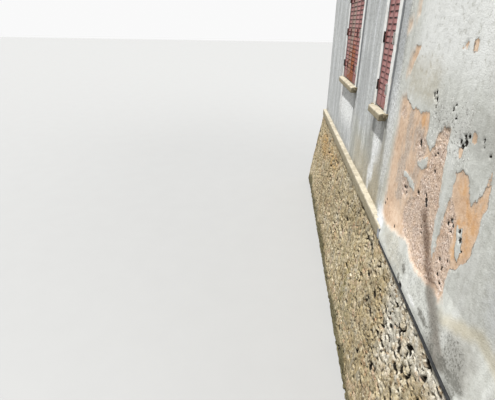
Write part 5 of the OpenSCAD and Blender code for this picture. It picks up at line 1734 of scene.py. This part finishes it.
def tube(side, across, path, radius, sides=20, inner=0.0):
    """A pipe along a path of distances out from the wall and heights, open at its foot if hollow"""
    path = np.array(path, float)
    ways = np.diff(path, axis=0)
    ways = ways / np.linalg.norm(ways, axis=1, keepdims=True)
    before, after = np.vstack([ways[:1], ways]), np.vstack([ways, ways[-1:]])
    mean = before + after
    mean = mean / np.linalg.norm(mean, axis=1, keepdims=True)
    spread = 1 / np.maximum((mean * after).sum(1), 0.5)
    rings = [(centre, way, radius, wide) for centre, way, wide in zip(path, mean, spread)]
    if inner:
        rings += [(path[-1], mean[-1], inner, 1.0), (path[-1] - ways[-1] * 0.08, mean[-1], inner, 1.0)]
    turn = np.arange(sides) * 2 * math.pi / sides
    found = []
    for centre, way, size, wide in rings:
        reach = np.outer(np.sin(turn) * size * wide, [-way[1], way[0]])
        found.append(on_front(side, across + size * np.cos(turn), *(centre + reach).T))
    return swept(found)


def bend(path, radius, steps=5):
    """The same path with each corner turned in a few steps"""
    path = [np.array(spot, float) for spot in path]
    found = [path[0]]
    for last, corner, following in zip(path, path[1:], path[2:]):
        start = corner + (last - corner) / np.linalg.norm(last - corner) * radius
        end = corner + (following - corner) / np.linalg.norm(following - corner) * radius
        for n in range(steps + 1):
            t = n / steps
            found.append((1 - t) ** 2 * start + 2 * t * (1 - t) * corner + t ** 2 * end)
    return found + [path[-1]]


zinc = zinc_finish()
pile, pipes = Pile(), Pile()
for side in ("river", "landward"):
    stations = lines([-roof_end + 0.001, roof_end - 0.001], 0.5)
    pile.add(*hung(side, stations, gutter_outline(gutter_radius, zinc_sheet, 0.038, True)))
    for end in (-roof_end + 0.0005, roof_end - 0.0025):
        disc = np.concatenate([arc(gutter_radius, 90, 270, 17), np.array([(-0.060, 0.010), (0.0, 0.001)])])
        pile.add(*hung(side, [end, end + 0.002], disc))
    for lap in (-1.45, 1.45):
        pile.add(*hung(side, [lap - 0.02, lap + 0.02], gutter_outline(gutter_radius + 0.0012, zinc_sheet,
            0.036, False)))
    straps = 15
    for strap in range(straps):
        x = -roof_end + 0.18 + (2 * roof_end - 0.36) * strap / (straps - 1)
        outline = gutter_outline(gutter_radius + strap_thick, strap_thick, 0.040, True)
        pile.add(*hung(side, [x - 0.012, x + 0.012], outline))
    across = pipe_across
    out = gutter_centre - half_depth
    neck_top = gutter_axis - gutter_half - 0.090
    neck_foot = neck_top - (out - pipe_out)
    path = [(out, gutter_axis - 0.055), (out, neck_top), (pipe_out, neck_foot), (pipe_out, pipe_foot)]
    pipes.add(*tube(side, across, bend(path, 0.05), pipe_radius, inner=pipe_radius - 0.0025))
    for corner, last, following in (((out, neck_top), (out, neck_top + 0.1), (pipe_out, neck_foot)),
            ((pipe_out, neck_foot), (out, neck_top), (pipe_out, neck_foot - 0.1))):
        corner, ends = np.array(corner), [np.array(last, float), np.array(following, float)]
        tips = [corner + (tip - corner) / np.linalg.norm(tip - corner) * 0.085 for tip in ends]
        pipes.add(*tube(side, across, bend([tips[0], corner, tips[1]], 0.05), pipe_radius + 0.0035))
    clips = int((neck_foot - pipe_foot) / clip_apart)
    for clip in range(clips + 1):
        foot = pipe_foot + clip * clip_apart
        sleeve = [(pipe_out, foot + up) for up in (0.060, 0.056, 0.001)]
        pipes.add(*tube(side, across, sleeve, clip_radius))
        ring = turned([(clip_radius, 0.0), (0.046, 0.001), (0.046, 0.021), (clip_radius, 0.022)], 20)
        pipes.fix(side, ring, (across, -pipe_out, foot + 0.019))
        for offset in (-0.009, 0.009):
            low = (across + offset - 0.0015, -0.034, foot + 0.019)
            high = (across + offset + 0.0015, 0.010, foot + 0.041)
            pipes.fix(side, dressed_block(low, high, 0.0005, 1.0, ()))
pile.finished("gutters_zinc", zinc, "zinc", ["gutters"], crease=40)
pipes.finished("downpipes_zinc", zinc, "zinc", ["downpipes"], crease=40)


# Chimney
# A stack of red bricks in stretcher bond, two wide and three long, with a cast cap and two clay pots over
# one flue.
brick_long, brick_high, brick_deep, brick_joint = 0.23, 0.065, 0.105, 0.010


def stretchers(first, last):
    """The start and end of each brick in a length"""
    count = max(1, round((last - first) / brick_long))
    wide = (last - first + brick_joint) / count
    starts = [first + n * wide for n in range(count)]
    return [(start, start + wide - brick_joint) for start in starts]


def brick_finish():
    """Common red bricks, darker and sooty towards the top"""
    brick = Finish("brick", roughness=0.9, specular=0.2)
    cloud, fine = brick.noise(0.05, 111, 4.0, 0.62), brick.noise(0.005, 112, 3.0)
    tone = brick.mark("brick") * 0.6 + cloud * 0.4
    colour = brick.shades(tone, (0.2, (124, 66, 50)), (0.85, (186, 112, 84)), (0.5, (156, 86, 64)))
    soot = brick.mark("soot") * cloud.rise(0.35, 0.6)
    colour = brick.mix(soot, colour, (70, 58, 52))
    return brick.wear(colour, cloud * 0.5 + fine, 0.0025)


brick = brick_finish()
pile = Pile()
courses = round((stack_high.z - stack_low.z) / (brick_high + brick_joint))
course_step = (stack_high.z - stack_low.z) / courses
for number in range(courses):
    foot = stack_low.z + number * course_step + brick_joint / 2
    head = foot + course_step - brick_joint
    spans = []
    held = brick_deep + brick_joint
    in_x, in_y = (0, held) if number % 2 else (held, 0)
    ends_x, ends_y = (stack_low.x + in_x, stack_high.x - in_x), (stack_low.y + in_y, stack_high.y - in_y)
    for y0, y1 in ((stack_low.y, stack_low.y + brick_deep), (stack_high.y - brick_deep, stack_high.y)):
        spans += [((x0, y0), (x1, y1)) for x0, x1 in stretchers(*ends_x)]
    for x0, x1 in ((stack_low.x, stack_low.x + brick_deep), (stack_high.x - brick_deep, stack_high.x)):
        spans += [((x0, y0), (x1, y1)) for y0, y1 in stretchers(*ends_y)]
    for low, high in spans:
        seed = number + int(low[0] * 10)
        points, faces = worn_block((*low, foot), (*high, head), 0.004, 0.2, 0.002, seed, ())
        soot = 0.15 + 0.6 * number / courses
        pile.add(points, faces, brick=random.random(), soot=soot)
pile.finished("chimney_bricks", brick, "brick", crease=40)
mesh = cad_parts["chimney_stack"].data
points = np.array([v.co for v in mesh.vertices])
for axis in (0, 1):
    for value, shift in ((stack_low[axis], 0.006), (stack_high[axis], -0.006)):
        points[np.abs(points[:, axis] - value) < 0.001, axis] += shift
piece("chimney_mortar", points, [list(face.vertices) for face in mesh.polygons], mortar, "brick",
    ["chimney_stack"], 30)
points, faces = eased("chimney_cap", 0.008)
piece("chimney_cap_cast", points, faces, limestone, "limestone", ["chimney_cap"], 35,
    top=np.full(len(points), 0.5))
pot_low, pot_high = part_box("chimney_pots")
pot_radius = 0.115
pot_profile = [(0.112, 0.0), (0.115, 0.003), (0.115, 0.036), (0.109, 0.046), (0.105, 0.060), (0.102, 0.250),
    (0.104, 0.268), (0.113, 0.280), (0.115, 0.288), (0.115, 0.304), (0.112, 0.316), (0.106, 0.320),
    (0.096, 0.318), (0.093, 0.312), (0.093, 0.0)]
pile = Pile()
for y in (pot_low.y + pot_radius, pot_high.y - pot_radius):
    points, faces = turned(pot_profile, 40, looped=True)
    pile.add(points + ((pot_low.x + pot_high.x) / 2, y, pot_low.z), faces, tile=0.4 + 0.3 * random.random())
pile.finished("chimney_pots_clay", roof_tile, "roof_tile", ["chimney_pots"], crease=50)


# Stage
# A plain floor that looks pale but throws little light back, a high sun on the river side, a soft fill from
# the landward side, and the camera.
bpy.ops.mesh.primitive_plane_add(size=160)
floor = bpy.context.object
floor.name = "floor"
floor_finish = Finish("pale_floor", roughness=0.8, specular=0.0)
rays = floor_finish.node("LightPath").outputs
shown = Layer(floor_finish, rays["Is Camera Ray"]).at_least(Layer(floor_finish, rays["Is Glossy Ray"]))
pale = floor_finish.mix(floor_finish.noise(0.4), (158, 158, 157), (161, 161, 160))
floor.data.materials.append(floor_finish.wear(floor_finish.mix(shown, (92, 92, 90), pale)))
floor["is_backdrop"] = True

for name, energy, spread, towards in (("sun", 5.4, 2.0, (0.03, -0.32, 0.95)),
        ("fill", 1.5, 50.0, (0.55, 0.70, 0.50))):
    lamp = bpy.data.lights.new(name, "SUN")
    lamp.energy = energy
    lamp.angle = math.radians(spread)
    lamp_object = bpy.data.objects.new(name, lamp)
    lamp_object.rotation_euler = Vector(towards).to_track_quat("Z", "Y").to_euler()
    bpy.context.scene.collection.objects.link(lamp_object)

world = bpy.data.worlds.new("sky")
world.use_nodes = True
bpy.context.scene.world = world
sky = world.node_tree
background = sky.nodes["Background"]
background.inputs["Color"].default_value = (1, 1, 1, 1)
rays = sky.nodes.new("ShaderNodeLightPath")
seen = sky.nodes.new("ShaderNodeMath")
seen.operation = "MAXIMUM"
sky.links.new(rays.outputs["Is Camera Ray"], seen.inputs[0])
sky.links.new(rays.outputs["Is Glossy Ray"], seen.inputs[1])
strength = sky.nodes.new("ShaderNodeMapRange")
strength.inputs["To Min"].default_value = 0.58
strength.inputs["To Max"].default_value = 0.95
sky.links.new(seen.outputs[0], strength.inputs["Value"])
sky.links.new(strength.outputs[0], background.inputs["Strength"])

# The camera stands at the near end, a metre out from the river wall, and looks down along it
camera = bpy.data.cameras.new("camera")
camera.sensor_width = 36
camera.lens = 28.69
camera.clip_end = 400
camera_object = bpy.data.objects.new("camera", camera)
bpy.context.scene.collection.objects.link(camera_object)
bpy.context.scene.camera = camera_object
camera_object.location = (eye_along, -half_depth - eye_out, eye_height)
turn, pitch, roll = math.radians(4.357), math.radians(24.238), math.radians(0.75)
ahead = Vector((-math.cos(turn) * math.cos(pitch), -math.sin(turn) * math.cos(pitch), -math.sin(pitch)))
right = Vector((-math.sin(turn), math.cos(turn), 0))
up = right.cross(ahead)
rolled_right = math.cos(roll) * right + math.sin(roll) * up
rolled_up = math.cos(roll) * up - math.sin(roll) * right
rotation = [[rolled_right[n], rolled_up[n], -ahead[n]] for n in range(3)]
camera_object.rotation_euler = Matrix(rotation).to_euler()

bpy.context.scene.view_settings.view_transform = "Standard"
low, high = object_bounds()
